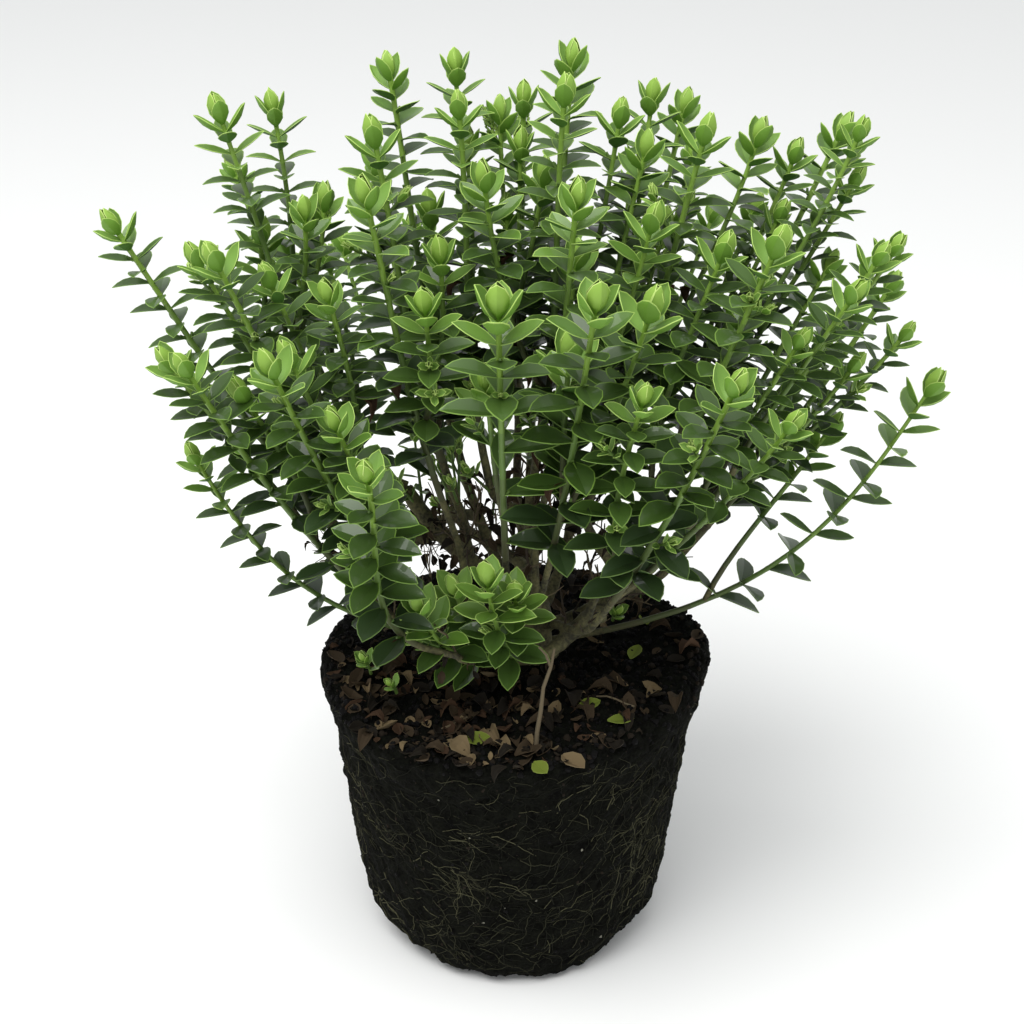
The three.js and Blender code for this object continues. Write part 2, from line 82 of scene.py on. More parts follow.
def finish(name, colour, roughness, **sockets):
    """A material with one colour and roughness all over, and any more of its shader's sockets by name."""
    material = bpy.data.materials.new(name)
    material.use_nodes = True
    shader = material.node_tree.nodes["Principled BSDF"]
    shader.inputs["Base Color"].default_value = (*linear(colour), 1)
    shader.inputs["Roughness"].default_value = roughness
    for socket, value in sockets.items():
        shader.inputs[socket.replace("_", " ")].default_value = value
    return material


# %% The surround, the lamp and the floor
scene.world = bpy.data.worlds.new("white_surround")
scene.world.use_nodes = True
surround = scene.world.node_tree.nodes["Background"]
surround.inputs["Color"].default_value = (*linear("f7f9fb"), 1)
surround.inputs["Strength"].default_value = 0.78

lamp_tilt = (math.radians(19), math.radians(-12), 0)
bpy.ops.object.light_add(type="AREA", location=(-0.35, -0.55, 1.7), rotation=lamp_tilt)
overhead = bpy.context.object.data
overhead.size = 1.4
overhead.energy = 33

# matt white paper, which takes soft shadows and throws some light back up
bpy.ops.mesh.primitive_plane_add(size=14, location=(0, 0, -0.3 * MM))
floor = bpy.context.object
floor.name = "floor"
floor.data.materials.append(finish("matt_white_paper", "f1f1ef", 0.9))
print("Lamp:", overhead.energy, "W, surround:", round(surround.inputs["Strength"].default_value, 2))

# %% [markdown]
# ## How the plant grows
#
# A hebe forks low down into a few boughs, each bough forks into branches, and each branch ends in a
# family of upright shoots, which is called a mass here. Curves drawn by hand would never reach the same
# tips as the solids. So the same table of shoot tips is repeated here: azimuths in degrees from the right
# towards the back, and reaches and heights above the soil in millimetres.

# %% The table of boughs and shoots
SOIL = 135
STEM_BASE = {"x": 8, "height": 27}
CROWN_HEIGHT = 270
FULL_REACH = 172  # how far from the axis the outermost shoots reach
GAP = 0.3

# each bough's azimuth, rise and radius, then its masses by the azimuth, reach and height of the tip
BOUGHS = {
    "left": (
        178, 56, 5.0,
        {"left_high": (173, 110, 255), "left_far": (-177, 165, 213), "left_inner": (-170, 57, 252)},
    ),
    "left_back": (140, 52, 3.2, {"back_left_high": (142, 66, 264), "back_left_far": (147, 150, 207)}),
    "front_left": (
        -148, 40, 3.4,
        {
            "front_left": (-133, 136, 190),
            "left_front": (-153, 131, 218),
            "left_front_low": (-149, 150, 180),
        },
    ),
    "front_left_low": (
        -112, 34, 3.2, {"front_left_low": (-111, 150, 165), "front_left_high": (-133, 83, 244)},
    ),
    "front": (
        -82, 48, 3.4,
        {"front_high": (-74, 114, 221), "front_mid": (-93, 100, 216), "front_inner": (-63, 56, 240)},
    ),
    "front_right": (-46, 36, 3.4, {"front_right_low": (-55, 146, 191), "right_front": (-30, 120, 224)}),
    "right": (
        -6, 26, 5.2,
        {
            "right_far": (-11, 152, 207),
            "right_high": (-14, 80, 256),
            "right_back_far": (17, 148, 237),
            "right_low": (10, 168, 172),
        },
    ),
    "right_back": (38, 46, 3.4, {"right_back": (42, 102, 240), "back_right_far": (56, 152, 200)}),
    "back": (
        95, 40, 3.4, {"back_far": (84, 158, 178), "back": (86, 74, 242), "back_left": (116, 150, 192)},
    ),
    "centre": (
        60, 78, 3.0,
        {"centre": (-10, 22, 267), "centre_left": (180, 22, 260), "centre_back": (58, 48, 269)},
    ),
}
FORKS = (1, 0.66, 0.42, 0.34)  # where on a bough its limbs part, by the share of its length
BRANCH_RADIUS = 2.8
LIMB_FOOT = 6.5  # how far from the stem's axis a limb begins
LOW_MASSES = {  # the tip, the rise at the stem base, and how long the stem keeps low before it turns up
    "low_left": ((-168, 142, 156), 8, 0.5),
    "low_right": ((2, 183, 136), 8, 0.56),
    "low_front": ((-98, 76, 88), 14, 0.5),
    "low_front_left": ((-120, 80, 72), 12, 0.5),
}
print("Boughs:", len(BOUGHS), " low masses:", len(LOW_MASSES))

# %% [markdown]
# ## Curves with a direction at each end
#
# A shoot leaves its stem at one angle and ends at another, and turns smoothly in between. A cubic curve
# does that with four handles: its two ends, and one more next to each that gives the direction. The
# leaves have to ask it for a point and a direction by the share of its length, so it is a small class of
# its own rather than one of Blender's curves.


# %% Directions and places
def lerp(a, b, share):
    return a + (b - a) * share


def unit(v):
    return v / np.linalg.norm(v)


def square_to(v, axis):
    """The direction of the part of v that is square to an axis."""
    return unit(v - axis * (v @ axis))


def turned(first, second, degrees):
    """The direction that lies some degrees from the first way towards the second, which is square to it."""
    angle = math.radians(degrees)
    return first * math.cos(angle) + second * math.sin(angle)


def heading(azimuth, rise):
    """The direction at an azimuth and a rise above level, in degrees."""
    a, r = math.radians(azimuth), math.radians(rise)
    return np.array([math.cos(a) * math.cos(r), math.sin(a) * math.cos(r), math.sin(r)])


def place(azimuth, reach, height):
    """The point at an azimuth, a reach from the axis and a height above the soil."""
    return heading(azimuth, 0) * reach + [0, 0, SOIL + height]


# %% A curve with a direction at each end
class Stem:
    """A smooth curve with a direction at each end, read by the share of its length."""

    top = 1  # the share of its length at which it ends
    in_light = False  # whether it stands clear of the others' shade, so its leaves get no painted shade

    def __init__(self, start, start_way, end, end_way, bend=0.36, end_bend=None):
        reach = np.linalg.norm(end - start)
        end_bend = bend if end_bend is None else end_bend
        self.handles = [start, start + start_way * reach * bend, end - end_way * reach * end_bend, end]
        self.times = np.linspace(0, 1, 201)
        steps = np.linalg.norm(np.diff(self.at_time(self.times), axis=0), axis=1)
        self.lengths = np.concatenate([[0], np.cumsum(steps)])
        self.length = self.lengths[-1]
        self.spine = self.point(np.linspace(0, 1, 15))

    def at_time(self, time):
        t = np.asarray(time)[..., None]
        a, b, c, d = self.handles
        return a * (1 - t) ** 3 + 3 * b * t * (1 - t) ** 2 + 3 * c * t**2 * (1 - t) + d * t**3

    def time(self, share):
        return np.interp(np.asarray(share) * self.length, self.lengths, self.times)

    def point(self, share):
        return self.at_time(self.time(share))

    def along(self, share):
        t = self.time(share)
        a, b, c, d = self.handles
        return unit((b - a) * (1 - t) ** 2 + 2 * (c - b) * t * (1 - t) + (d - c) * t**2)

    def across(self):
        """The level direction square to the way from its start to its end."""
        return unit(np.cross([0, 0, 1], self.handles[3] - self.handles[0]))


def clearance(points, stems):
    """The distances from some points to the spines of some stems."""
    starts = np.concatenate([stem.spine[:-1] for stem in stems])
    ways = np.concatenate([np.diff(stem.spine, axis=0) for stem in stems])
    offsets = points[:, None] - starts
    shares = np.clip((offsets * ways).sum(-1) / (ways**2).sum(-1), 0, 1)
    return np.linalg.norm(offsets - shares[..., None] * ways, axis=-1)


# %% [markdown]
# ## From the table to limbs
#
# Each bough runs from the stem base to an elbow under its first mass, its branches part from it lower
# down, and on each elbow stands a leading shoot. The side shoots could be placed by hand too, but a rule
# spreads them better: of 24 seeded tries, the one whose tip has the most room is kept, much as the light
# would choose it.


# %% Boughs, branches and leading shoots
def tip_way(azimuth, reach):
    """A shoot's direction at its tip, which leans out the more the further it reaches."""
    lean = lerp(4, 30, min(1, reach / FULL_REACH) ** 1.3)
    return heading(azimuth, 90 - lean)


def elbow(azimuth, reach, height):
    """Where the limb under a leading shoot ends, and its direction there."""
    point = place(azimuth, reach * 0.42, height * 0.33 * height / CROWN_HEIGHT)
    way = lerp(unit(place(azimuth, reach, height) - point), heading(azimuth, 0), 0.12)
    return point, unit(way)


def stem_base_point(azimuth, out, share):
    return np.array([STEM_BASE["x"], 0, SOIL + STEM_BASE["height"] * share]) + heading(azimuth, 0) * out


limbs = []
masses = []
for bough, (azimuth, rise, radius, tips) in BOUGHS.items():
    start = stem_base_point(azimuth, LIMB_FOOT * math.cos(math.radians(rise)), lerp(0.3, 1, rise / 90))
    for (mass, tip), fork in zip(tips.items(), FORKS):
        end, way = elbow(*tip)
        if fork == 1:
            parent = Stem(start, heading(azimuth, rise), end, way)
            limbs.append({"name": "bough_" + bough, "stem": parent, "radius": radius})
        else:
            root = parent.point(fork)
            branch = Stem(root, unit(lerp(unit(end - root), parent.along(fork), 0.25)), end, way)
            limbs.append({"name": "branch_" + mass, "stem": branch, "radius": BRANCH_RADIUS})
        leader = Stem(end + way * GAP, way, place(*tip), tip_way(*tip[:2]))
        masses.append({"name": mass, "tip": tip, "shoots": [leader], "low": False})
for mass, (tip, rise, turn) in LOW_MASSES.items():
    start = stem_base_point(tip[0], LIMB_FOOT, 0.22)
    leader = Stem(start, heading(tip[0], rise), place(*tip), tip_way(*tip[:2]), turn, 0.3)
    masses.append({"name": mass, "tip": tip, "shoots": [leader], "low": True})
print("Limbs:", len(limbs), " masses:", len(masses))


# %% Side shoots: the seeded try whose tip has the most room
TRIES = 24
INNER_REACH = 70  # the side shoots of an inner mass may reach this far, though their leader doesn't
SHOOT_ROOM = 9


def seeded(state):
    """Numbers from 0 to 1, the same at each run."""
    while True:
        state = (state * 1664525 + 1013904223) % 2**32
        yield state / 2**32


def side_shoot(mass, random):
    leader = mass["shoots"][0]
    leader_tip = place(*mass["tip"])
    others = [shoot for other in masses if other is not mass for shoot in other["shoots"]]
    tips = np.array([shoot.handles[3] for other in masses for shoot in other["shoots"]])
    best = None
    for _ in range(TRIES):
        offset = heading(360 * next(random), 0) * lerp(24, 44, next(random))
        drop = lerp(0.03, 0.2, next(random)) * mass["tip"][2]
        fork = lerp(0.1, 0.34, next(random))
        tip = leader_tip + offset - [0, 0, drop]
        reach = math.hypot(tip[0], tip[1])
        room = np.linalg.norm(tips - tip, axis=1).min()
        if reach > max(mass["tip"][1], INNER_REACH) or (best and room <= best[0]):
            continue
        root, along = leader.point(fork), leader.along(fork)
        end_way = tip_way(math.degrees(math.atan2(tip[1], tip[0])), reach)
        shoot = Stem(root, unit(square_to(tip - root, along) + along), tip, end_way, 0.25)
        if clearance(shoot.spine, others).min() > SHOOT_ROOM:
            best = (room, shoot)
    if best:
        mass["shoots"].append(best[1])


for index, mass in enumerate(masses):
    random = seeded(1 + index)
    for _ in range(round(lerp(1, 3, mass["tip"][1] / FULL_REACH))):
        side_shoot(mass, random)
print("Shoots:", sum(len(mass["shoots"]) for mass in masses))

# %% [markdown]
# ## One leaf, modelled by hand
#
# A hebe leaf is a small thick oval with a keel along its middle, satin green above, greyer below, and
# edged by a thin pale rim. It could be a flat card with a picture on it, but a card has no thickness, and
# the rim would blur. Here it is a real little solid. A grid is folded along its keel, each row is scaled
# to the leaf's outline and lifted to its arch, the point is merged, and an inset gives the rim an even
# width. Solidify then gives the blade its thickness and its own material below. The leaf is one unit
# long, from its foot along +X.


# %% Tools for modelling by hand
def pick(item, test, kind="VERT"):
    """Goes to edit mode with just the vertices or faces selected whose place passes the test."""
    if item.mode == "EDIT":
        bpy.ops.object.mode_set(mode="OBJECT")
    mesh = item.data
    for parts in (mesh.vertices, mesh.edges, mesh.polygons):
        parts.foreach_set("select", np.zeros(len(parts), bool))
    if kind == "VERT":
        mesh.vertices.foreach_set("select", [test(vertex.co) for vertex in mesh.vertices])
    else:
        mesh.polygons.foreach_set("select", [test(face.center) for face in mesh.polygons])
    scene.tool_settings.mesh_select_mode = (kind == "VERT", False, kind == "FACE")
    bpy.ops.object.mode_set(mode="EDIT")


def alone(item):
    """Leaves edit mode, and makes one object the only selected one."""
    if bpy.context.object and bpy.context.object.mode == "EDIT":
        bpy.ops.object.mode_set(mode="OBJECT")
    bpy.ops.object.select_all(action="DESELECT")
    item.select_set(True)
    bpy.context.view_layer.objects.active = item
    return item


def apply(item, kind, **settings):
    """Adds a modifier with its settings and applies it."""
    alone(item)
    modifier = item.modifiers.new(kind.lower(), kind)
    for name, value in settings.items():
        setattr(modifier, name, value)
    bpy.ops.object.modifier_apply(modifier=modifier.name)


# %% A hand-made mesh as plain arrays
def read(parts, name, kind=float, width=1):
    """One list of a mesh, such as the places of its points, as an array."""
    values = np.empty(len(parts) * width, kind)
    parts.foreach_get(name, values)
    return values.reshape(-1, width) if width > 1 else values


class Model:
    """A hand-made mesh taken as plain arrays, so that it can be copied to many places."""

    def __init__(self, item):
        mesh = alone(item).data
        self.points = read(mesh.vertices, "co", width=3)
        self.corners = read(mesh.loops, "vertex_index", int)
        self.starts = read(mesh.polygons, "loop_start", int)
        self.finishes = read(mesh.polygons, "material_index", int)
        self.triangles = len(self.corners) - 2 * len(self.starts)
        bpy.data.objects.remove(item)


# %% The leaf
FOOT_WIDTH = 0.16  # the outline is never narrower than this near the foot, by the leaf's width
FULLNESS = 0.76  # an outline of a sine to the power of 1 would be lean, and one of 0 square
CROWDING = 0.05  # how far the rows crowd together at both ends, where the outline bends most


def leaf_model(width, widest, cup, round_cup, bow, hook, rows=5, columns=4, rim=0.02, thick=0.017):
    """A leaf whose upper face is towards +Z. Width and widest are shares of its length. Cup is how far the
    edges stand up, as a share of half the width. Bow and hook are how far its middle and its point rise."""
    grid = {"x_subdivisions": rows, "y_subdivisions": columns, "size": 1}
    bpy.ops.mesh.primitive_grid_add(**grid, location=(0.5, 0, 0))
    leaf = bpy.context.object
    bpy.ops.object.transform_apply()
    for distance, height in ((0.25, cup * (0.13 if round_cup else 0.22)), (0.5, cup * 0.5)):
        pick(leaf, lambda at: abs(abs(at.y) - distance) < 0.01)
        bpy.ops.transform.translate(value=(0, 0, height))
    skew = math.log(0.5) / math.log(widest)
    shifts = {row / rows: CROWDING * math.sin(2 * math.pi * (row / rows)) for row in range(rows + 1)}
    for share, shift in shifts.items():
        nearer = share - shift
        outline = max(FOOT_WIDTH * (1 - share), math.sin(math.pi * nearer**skew) ** FULLNESS) * width
        pick(leaf, lambda at: abs(at.x - share) < 0.01)
        bpy.ops.transform.resize(value=(1, outline, outline), center_override=(share, 0, 0))
        lift = bow * math.sin(math.pi * nearer) + hook * nearer**2
        bpy.ops.transform.translate(value=(0, 0, lift))
    for share, shift in shifts.items():  # the rows move along last, because they are found by their places
        pick(leaf, lambda at: abs(at.x - share) < 0.01)
        bpy.ops.transform.translate(value=(-shift, 0, 0))
    pick(leaf, lambda at: at.x > 0.99)
    bpy.ops.mesh.merge(type="CENTER")
    alone(leaf)
    for _ in range(4):  # slots for the upper side, the rim, the underside and the rim's own underside
        leaf.data.materials.append(None)
    pick(leaf, lambda at: True, "FACE")
    bpy.ops.mesh.inset(thickness=rim)
    bpy.ops.mesh.select_all(action="INVERT")
    leaf.active_material_index = 1
    bpy.ops.object.material_slot_assign()
    apply(leaf, "SOLIDIFY", thickness=thick, offset=-1, material_offset=2, material_offset_rim=0)
    return Model(leaf)


# %% The leaf models
MODELS = {
    "flat": leaf_model(0.55, 0.52, 0.30, False, 0.03, -0.04, rows=6, rim=0.018),
    "arched": leaf_model(0.53, 0.50, 0.28, False, 0.05, -0.09, rows=6, rim=0.018),
    "lifted": leaf_model(0.54, 0.50, 0.36, False, -0.04, 0.04, rows=6, rim=0.018),
    "young": leaf_model(0.55, 0.50, 0.62, True, -0.11, 0.08),
    "bud": leaf_model(0.56, 0.52, 0.92, True, -0.21, 0.07),
    "small": leaf_model(0.46, 0.48, 0.30, False, -0.02, 0.02, rows=3, columns=2, rim=0.05, thick=0.03),
}
print("Triangles in a leaf:", {name: model.triangles for name, model in MODELS.items()})

# %% [markdown]
# ## Dressing the shoots
#
# The leaves stand in crossed pairs: each pair is a quarter turn from the one below. At the tip two pairs
# are still closed like a tulip, the next ones open step by step, and from the seventh pair down they are
# full grown and nearly level. That order is one short table. Before a leaf is kept, its blade is tested
# against the leaves and stems that are there already. A leaf in the way is raised, lowered or made
# smaller, and at last left out, as in a crown where each finds its own light.

# %% The order of leaf pairs from the tip down
PAIRS = (  # step from the pair above, rise above square to the stem, share of full length, model, colour
    (12.5, 88, 0.68, "bud", "bud"),
    (1.0, 84, 0.76, "bud", "bud"),
    (1.6, 58, 0.82, "young", "young"),
    (3.4, 41, 0.88, "young", "young"),
    (4.6, 29, 0.93, "lifted", "upper"),
    (5.4, 22, 0.97, "lifted", "upper"),
    (6.0, 16, 1.00, "flat", "upper"),
    (6.6, 11, 1.03, "flat", "middle"),
    (7.2, 8, 1.06, "flat", "middle"),
)
LAST_PAIR = len(PAIRS) - 1
CLOSED_PAIRS = 3  # these stand round the bud, each where the table says
YOUNG_PAIRS = 4  # from the next one on, a shoot's leaves have a tone of their own
OLD_PAIR = 13  # from here down the leaves are the old dark ones
LEAF_LENGTH = 16.8
SHADED_BELOW = SOIL + 225  # shoots with tips under this get darker leaves two pairs sooner: painted shade

# a leaf's tries: by how many degrees it is raised, and the share of its size
LEAF_TRIES = ((0, 1), (11, 0.95), (-9, 0.9), (20, 0.85), (28, 0.72))
LEAF_ROOM, STEM_ROOM, SOIL_ROOM = 2.8, 2.4, 1.5
CUBE = 6
CUBES_AROUND = [(x, y, z) for x in (-1, 0, 1) for y in (-1, 0, 1) for z in (-1, 0, 1)]
UP = np.array([0, 0, 1])
print("Pairs in the table:", len(PAIRS))

# %% Keeping places for the leaves
stray = np.random.default_rng(17)
places = {}  # by model and colour: the 3 x 4 matrices that take the model to its places
taken = {}  # points on the leaves so far, by the cube of space that they lie in
all_stems = [limb["stem"] for limb in limbs]
axils = []  # corners between a leaf and its stem, where a side twig may grow


def put(model, colour, root, way, upper, length, width=1.0):
    """Notes a place for a model: its foot, its way, its upper side and its size."""
    across = np.cross(upper, way)
    matrix = np.column_stack([way * length, across * length * width, upper * length, root])
    places.setdefault((model, colour), []).append(matrix)


def take(points):
    for point in points:
        taken.setdefault(tuple((point // CUBE).astype(int)), []).append(point)


def is_free(points, distance):
    """Whether some points are further than a distance, at most one cube, from the leaves so far."""
    for point in points:
        x, y, z = (point // CUBE).astype(int)
        near = [other for dx, dy, dz in CUBES_AROUND for other in taken.get((x + dx, y + dy, z + dz), ())]
        if near and np.linalg.norm(np.array(near) - point, axis=1).min() < distance:
            return False
    return True


def others_than(stem):
    return [other for other in all_stems if other is not stem]


# %% Hanging one leaf
def hang_leaf(model, colour, centre, out, normal, rise, length, others):
    """Keeps a leaf in the first of some tries in which it is free."""
    for lift, size in LEAF_TRIES:
        way, upper = turned(out, normal, rise + lift), turned(normal, -out, rise + lift)
        side = np.cross(upper, way) * 0.22
        blade = np.array([way * 0.45, way * 0.72, way, way * 0.5 + side, way * 0.5 - side])
        blade = centre + length * size * blade
        clear = blade[:, 2].min() > SOIL + SOIL_ROOM and is_free(blade, LEAF_ROOM)
        if clear and clearance(blade, others).min() > STEM_ROOM:
            put(model, colour, centre + out * 0.5, way, upper, length * size, stray.normal(1, 0.05))
            take(blade)
            return


# %% The openings through the crown
# light comes through the crown low down: each opening's two ends, and its half width and half height
OPENINGS = [
    ((-13, -150, 290), (-18, 130, 148), 17, 25),
    ((-76, -150, 270), (-107, 130, 120), 10, 9),
    ((75, -150, 270), (105, 130, 120), 15, 13),
    ((119, -150, 312), (166, 130, 178), 10, 10),
]


def in_opening(point):
    """Whether a point lies in one of the openings through the crown."""
    for start, end, half_width, half_height in OPENINGS:
        share = (point[1] - start[1]) / (end[1] - start[1])
        x, _, z = lerp(np.array(start), np.array(end), share)
        if ((point[0] - x) / half_width) ** 2 + ((point[2] - z) / half_height) ** 2 < 1:
            return True
    return False


# %% Hanging a whole stem
def dress(stem, bare, size, tone, small=False, stride=1.0):
    """Hangs a stem with its leaf pairs, from the tip down to its bare foot, and notes its nodes."""
    others, across = others_than(stem), stem.across()
    back = stem.length * (1 - stem.top)
    # a shaded shoot takes the darker leaf colours two pairs sooner: painted shade
    shade = 2 if stem.handles[3][2] < SHADED_BELOW and not stem.in_light else 0
    stem.nodes = []
    for number in range(60):
        step, rise, share, model, colour = PAIRS[min(number, LAST_PAIR)]
        if number >= YOUNG_PAIRS:
            colour = PAIRS[min(number + shade, LAST_PAIR)][-1]
        if number > LAST_PAIR:  # full-grown pairs stand further and further apart, and less in order
            older = number - len(PAIRS)
            step, share = min(11.5, step + 0.5 * older), min(1.24, share + 0.025 * older)
            step, rise = step * stray.normal(1, 0.08), stray.normal(rise, 7)
            model = ("flat", "arched", "flat", "lifted")[stray.integers(4)]
            colour = "lower" if number >= OLD_PAIR else colour
        back += step * size**0.7 * (stride if number >= CLOSED_PAIRS else 1)
        if back > stem.length - bare:
            break
        at = 1 - back / stem.length
        stem.nodes.append(at)
        centre, along = stem.point(at), stem.along(at)
        normal = unit(lerp(along, UP, 0.5 * min(1, number / 6)))
        first = square_to(across, normal)
        second = np.cross(normal, first)
        for opposite in (0, 180):
            out = turned(first, second, 90 * number + opposite + stray.normal(0, 5))
            length = size * share * LEAF_LENGTH * stray.normal(1, 0.04)
            kind = "small" if small else model
            name = colour if number < YOUNG_PAIRS else f"{colour}_{tone}"
            if number >= YOUNG_PAIRS and in_opening(centre + out * length * 0.5):
                continue
            if number < CLOSED_PAIRS:
                angle = rise + stray.normal(0, 2)
                way = turned(out, along, angle)
                put(kind, name, centre + out * 0.4 * size, way, turned(along, -out, angle), length)
                take(centre + np.outer([0.6, 1], way * length))
            else:
                hang_leaf(kind, name, centre, out, normal, rise, length, others)
            if number > YOUNG_PAIRS and not small:
                axils.append((stem, centre, out, along, number))


# %% [markdown]
# ## The gardener's hand
#
# A rule alone makes a plant too even. Real ones are cut back, lean to the light and grow two tops for
# one, so short lists say which shoots were pruned, doubled or bent. They could be new rows in the first
# table, but then the seeded rule would choose its side shoots anew, and they would leave their solids.

# %% The gardener's lists
VIGOUR = {  # masses with leaves of another size, or further apart: a factor for each
    "low_left": (0.84, 1.2),
    "low_right": (1.16, 1.4),
    "right_low": (0.95, 1.2),
    "right_far": (0.92, 1.15),
    "front_left_low": (0.95, 1.3),
    "front_mid": (1.2, 1.2),
    "front_high": (1.17, 1.2),
}
LONE = ("low_left", "low_right")  # these shoots bear no side twigs
SECOND_SHOOTS = {  # shoots as tall as the leading one, by the tip's azimuth, reach and height
    "left_high": ((178, 119, 257), (161, 106, 250), (164, 82, 214), (-171, 85, 221)),
    "centre_left": ((118, 51, 264),),
    "centre_back": ((96, 50, 243),),
    "right_high": ((40, 78, 250), (10, 104, 243)),
    "right_back_far": ((14, 123, 231), (0, 141, 249)),
    "right_far": ((-7, 157, 207),),
    "low_front": ((-89, 66, 76),),
    "front_left": ((-126, 117, 166),),
}
FORK, LATE_FORK = 0.22, 0.37  # where they part from a straight or a swung leader, by share of length
STOPPED = {"left_high": 0.74}  # leading shoots that were cut back, by the share that is left
SWUNG = {  # leading shoots that lie low and then turn up: their first way, its bend, and the tip
    "left_high": ((178, 20), 0.5, (173, 110, 255)),
    "low_left": ((-168, 8), 0.5, (-167, 138, 120)),
    "front_left_low": ((178, 8), 0.3, (-111, 150, 165)),
}
PRUNED = {  # side shoots that were taken out, which opened the crown: their number, and their masses
    1: (
        "left_high", "left_far", "left_front", "left_front_low", "front_left", "front_left_low",
        "front_mid", "front_right_low", "centre_back", "low_left", "low_front", "low_front_left",
    ),
    2: (
        "left_high", "front_left", "front_left_low", "front_left_high",
        "low_left", "low_right", "low_front",
    ),
    3: ("left_far", "front_left_low", "low_left", "low_right"),
}
print("Second shoots:", sum(map(len, SECOND_SHOOTS.values())), " pruned:", sum(map(len, PRUNED.values())))

# %% Pruning, bending and doubling
for mass in masses:
    name, shoots = mass["name"], mass["shoots"]
    shoots[:] = [shoot for number, shoot in enumerate(shoots) if name not in PRUNED.get(number, ())]
    if name in SWUNG:
        first_way, bend, tip = SWUNG[name]
        foot = shoots[0].handles[0]
        shoots[0] = Stem(foot, heading(*first_way), place(*tip), tip_way(*tip[:2]), bend, 0.34)
    shoots[0].top = STOPPED.get(name, 1)
    fork = LATE_FORK if name in SWUNG else FORK
    root, along = shoots[0].point(fork), shoots[0].along(fork)
    for tip in SECOND_SHOOTS.get(name, ()):
        end = place(*tip)
        way = unit(lerp(square_to(end - root, along), along, 0.5))
        shoots.append(Stem(root, way, end, unit(tip_way(*tip[:2]) + UP * 0.6), 0.25, 0.3))
    all_stems += shoots
print("Shoots now:", sum(len(mass["shoots"]) for mass in masses))

# %% Leaves on all the shoots
BARE_LOW, BARE_LEADER, BARE_SIDE = 0.34, 0.14, 0.08  # the bare foot of a shoot, by the share of its length

for mass in masses:
    azimuth, reach = mass["tip"][:2]
    spread = reach / FULL_REACH  # leaves grow smaller outwards and to the back
    vigour = 1.0 - 0.16 * spread * math.sin(math.radians(azimuth)) - 0.13 * spread**2
    factor, stride = VIGOUR.get(mass["name"], (1, 1))
    for number, shoot in enumerate(mass["shoots"]):
        bare = shoot.length * (BARE_LOW if mass["low"] else BARE_SIDE if number else BARE_LEADER)
        shoot.tone = int(stray.integers(3))
        shoot.reach = max(reach, INNER_REACH)
        # the lowest shoots stick out into the light, and their leaves get no painted shade
        shoot.in_light = mass["low"]
        size = vigour * factor * stray.normal(1, 0.04) * (1 if number == 0 else 0.95)
        corners = len(axils)
        dress(shoot, bare, size, shoot.tone, stride=stride)
        if mass["name"] in LONE:
            del axils[corners:]
print("Leaves so far:", sum(map(len, places.values())), " corners for side twigs:", len(axils))

# %% [markdown]
# ## Side twigs
#
# In the corner of many leaves sits a side bud, here a short bare stub, and a few have grown out to a twig
# with small leaves of its own. The twigs fill the crown between the long shoots. Each try is kept only if
# it has room and stays within the reach of the solids. The old wood bears thin whips that got too little
# light, and a few fresh sprigs.

# %% Stubs and twigs in the leaf corners
STUB_CHANCE = 0.30
TWIG_CHANCE = 0.18
twigs = []


def keep(twig):
    twigs.append(twig)
    all_stems.append(twig)


for stem, centre, out, along, number in axils:
    dice = stray.random()
    if dice > STUB_CHANCE + TWIG_CHANCE:
        continue
    is_stub = dice < STUB_CHANCE
    length = stray.uniform(4, 7) if is_stub else stray.uniform(11, 16 + 1.6 * min(number, 14))
    slant = unit(out * stray.uniform(0.5, 0.9) + along)
    end = centre + slant * length
    too_high = end[2] > stem.point(stem.top)[2] - 12
    if too_high or math.hypot(end[0], end[1]) > stem.reach or (not is_stub and in_opening(end)):
        continue
    twig = Stem(centre + out, unit(out + along), end, unit(along + UP * 0.5 + out * 0.2), 0.3)
    room = 2.0 if is_stub else 3.2
    if is_free(twig.spine[5:], room) and clearance(twig.spine[3:], others_than(stem)).min() > room:
        keep(twig)
        if not is_stub:
            dress(twig, 1.5, stray.uniform(0.42, 0.6), stem.tone, small=True)
print("Stubs and side twigs:", len(twigs))

# %% Whips and sprigs
WHIPS = 22
WHIP_LIMBS = (
    "bough_left", "bough_left_back", "branch_left_inner", "branch_back_left", "branch_centre_left",
)
SPRIGS = (  # foot, tip, size
    ((45, 6, SOIL + 13), (49, 0, SOIL + 26), 0.58),
    ((-62, -20, SOIL + 1), (-66, -25, SOIL + 17), 0.5),
    ((-50, -36, SOIL + 1), (-54, -41, SOIL + 13), 0.42),
    ((60, 44, SOIL + 1), (62, 50, SOIL + 12), 0.42),
)

inner = [limb["stem"] for limb in limbs if limb["name"] in WHIP_LIMBS]
for number in range(WHIPS):
    limb, at = inner[number % len(inner)], stray.uniform(0.45, 1)
    root = limb.point(at)
    way = unit(heading(stray.uniform(0, 360), 55) + limb.along(at))
    whip = Stem(root, way, root + way * stray.uniform(22, 46), unit(way + UP), 0.3)
    if is_free(whip.spine[5:], 2) and clearance(whip.spine[5:], others_than(limb)).min() > 2:
        keep(whip)
        dress(whip, 6, stray.uniform(0.34, 0.5), 2, small=True, stride=1.6)

for foot, tip, size in SPRIGS:
    sprig = Stem(np.array(foot), UP, np.array(tip), UP, 0.3)
    keep(sprig)
    dress(sprig, 2, size, 1)
print("Stubs and twigs in all:", len(twigs), " leaves and buds:", sum(map(len, places.values())))

# %% [markdown]
# ## Flower spikes
#
# A few shoots at the back already carry spikes of closed flower buds, like small ears of corn. A bud is a
# ball of twenty faces, a bit out of round, and the buds stand round their axis in a spiral, each 137.5
# degrees on from the last, which is how a plant packs them evenly.

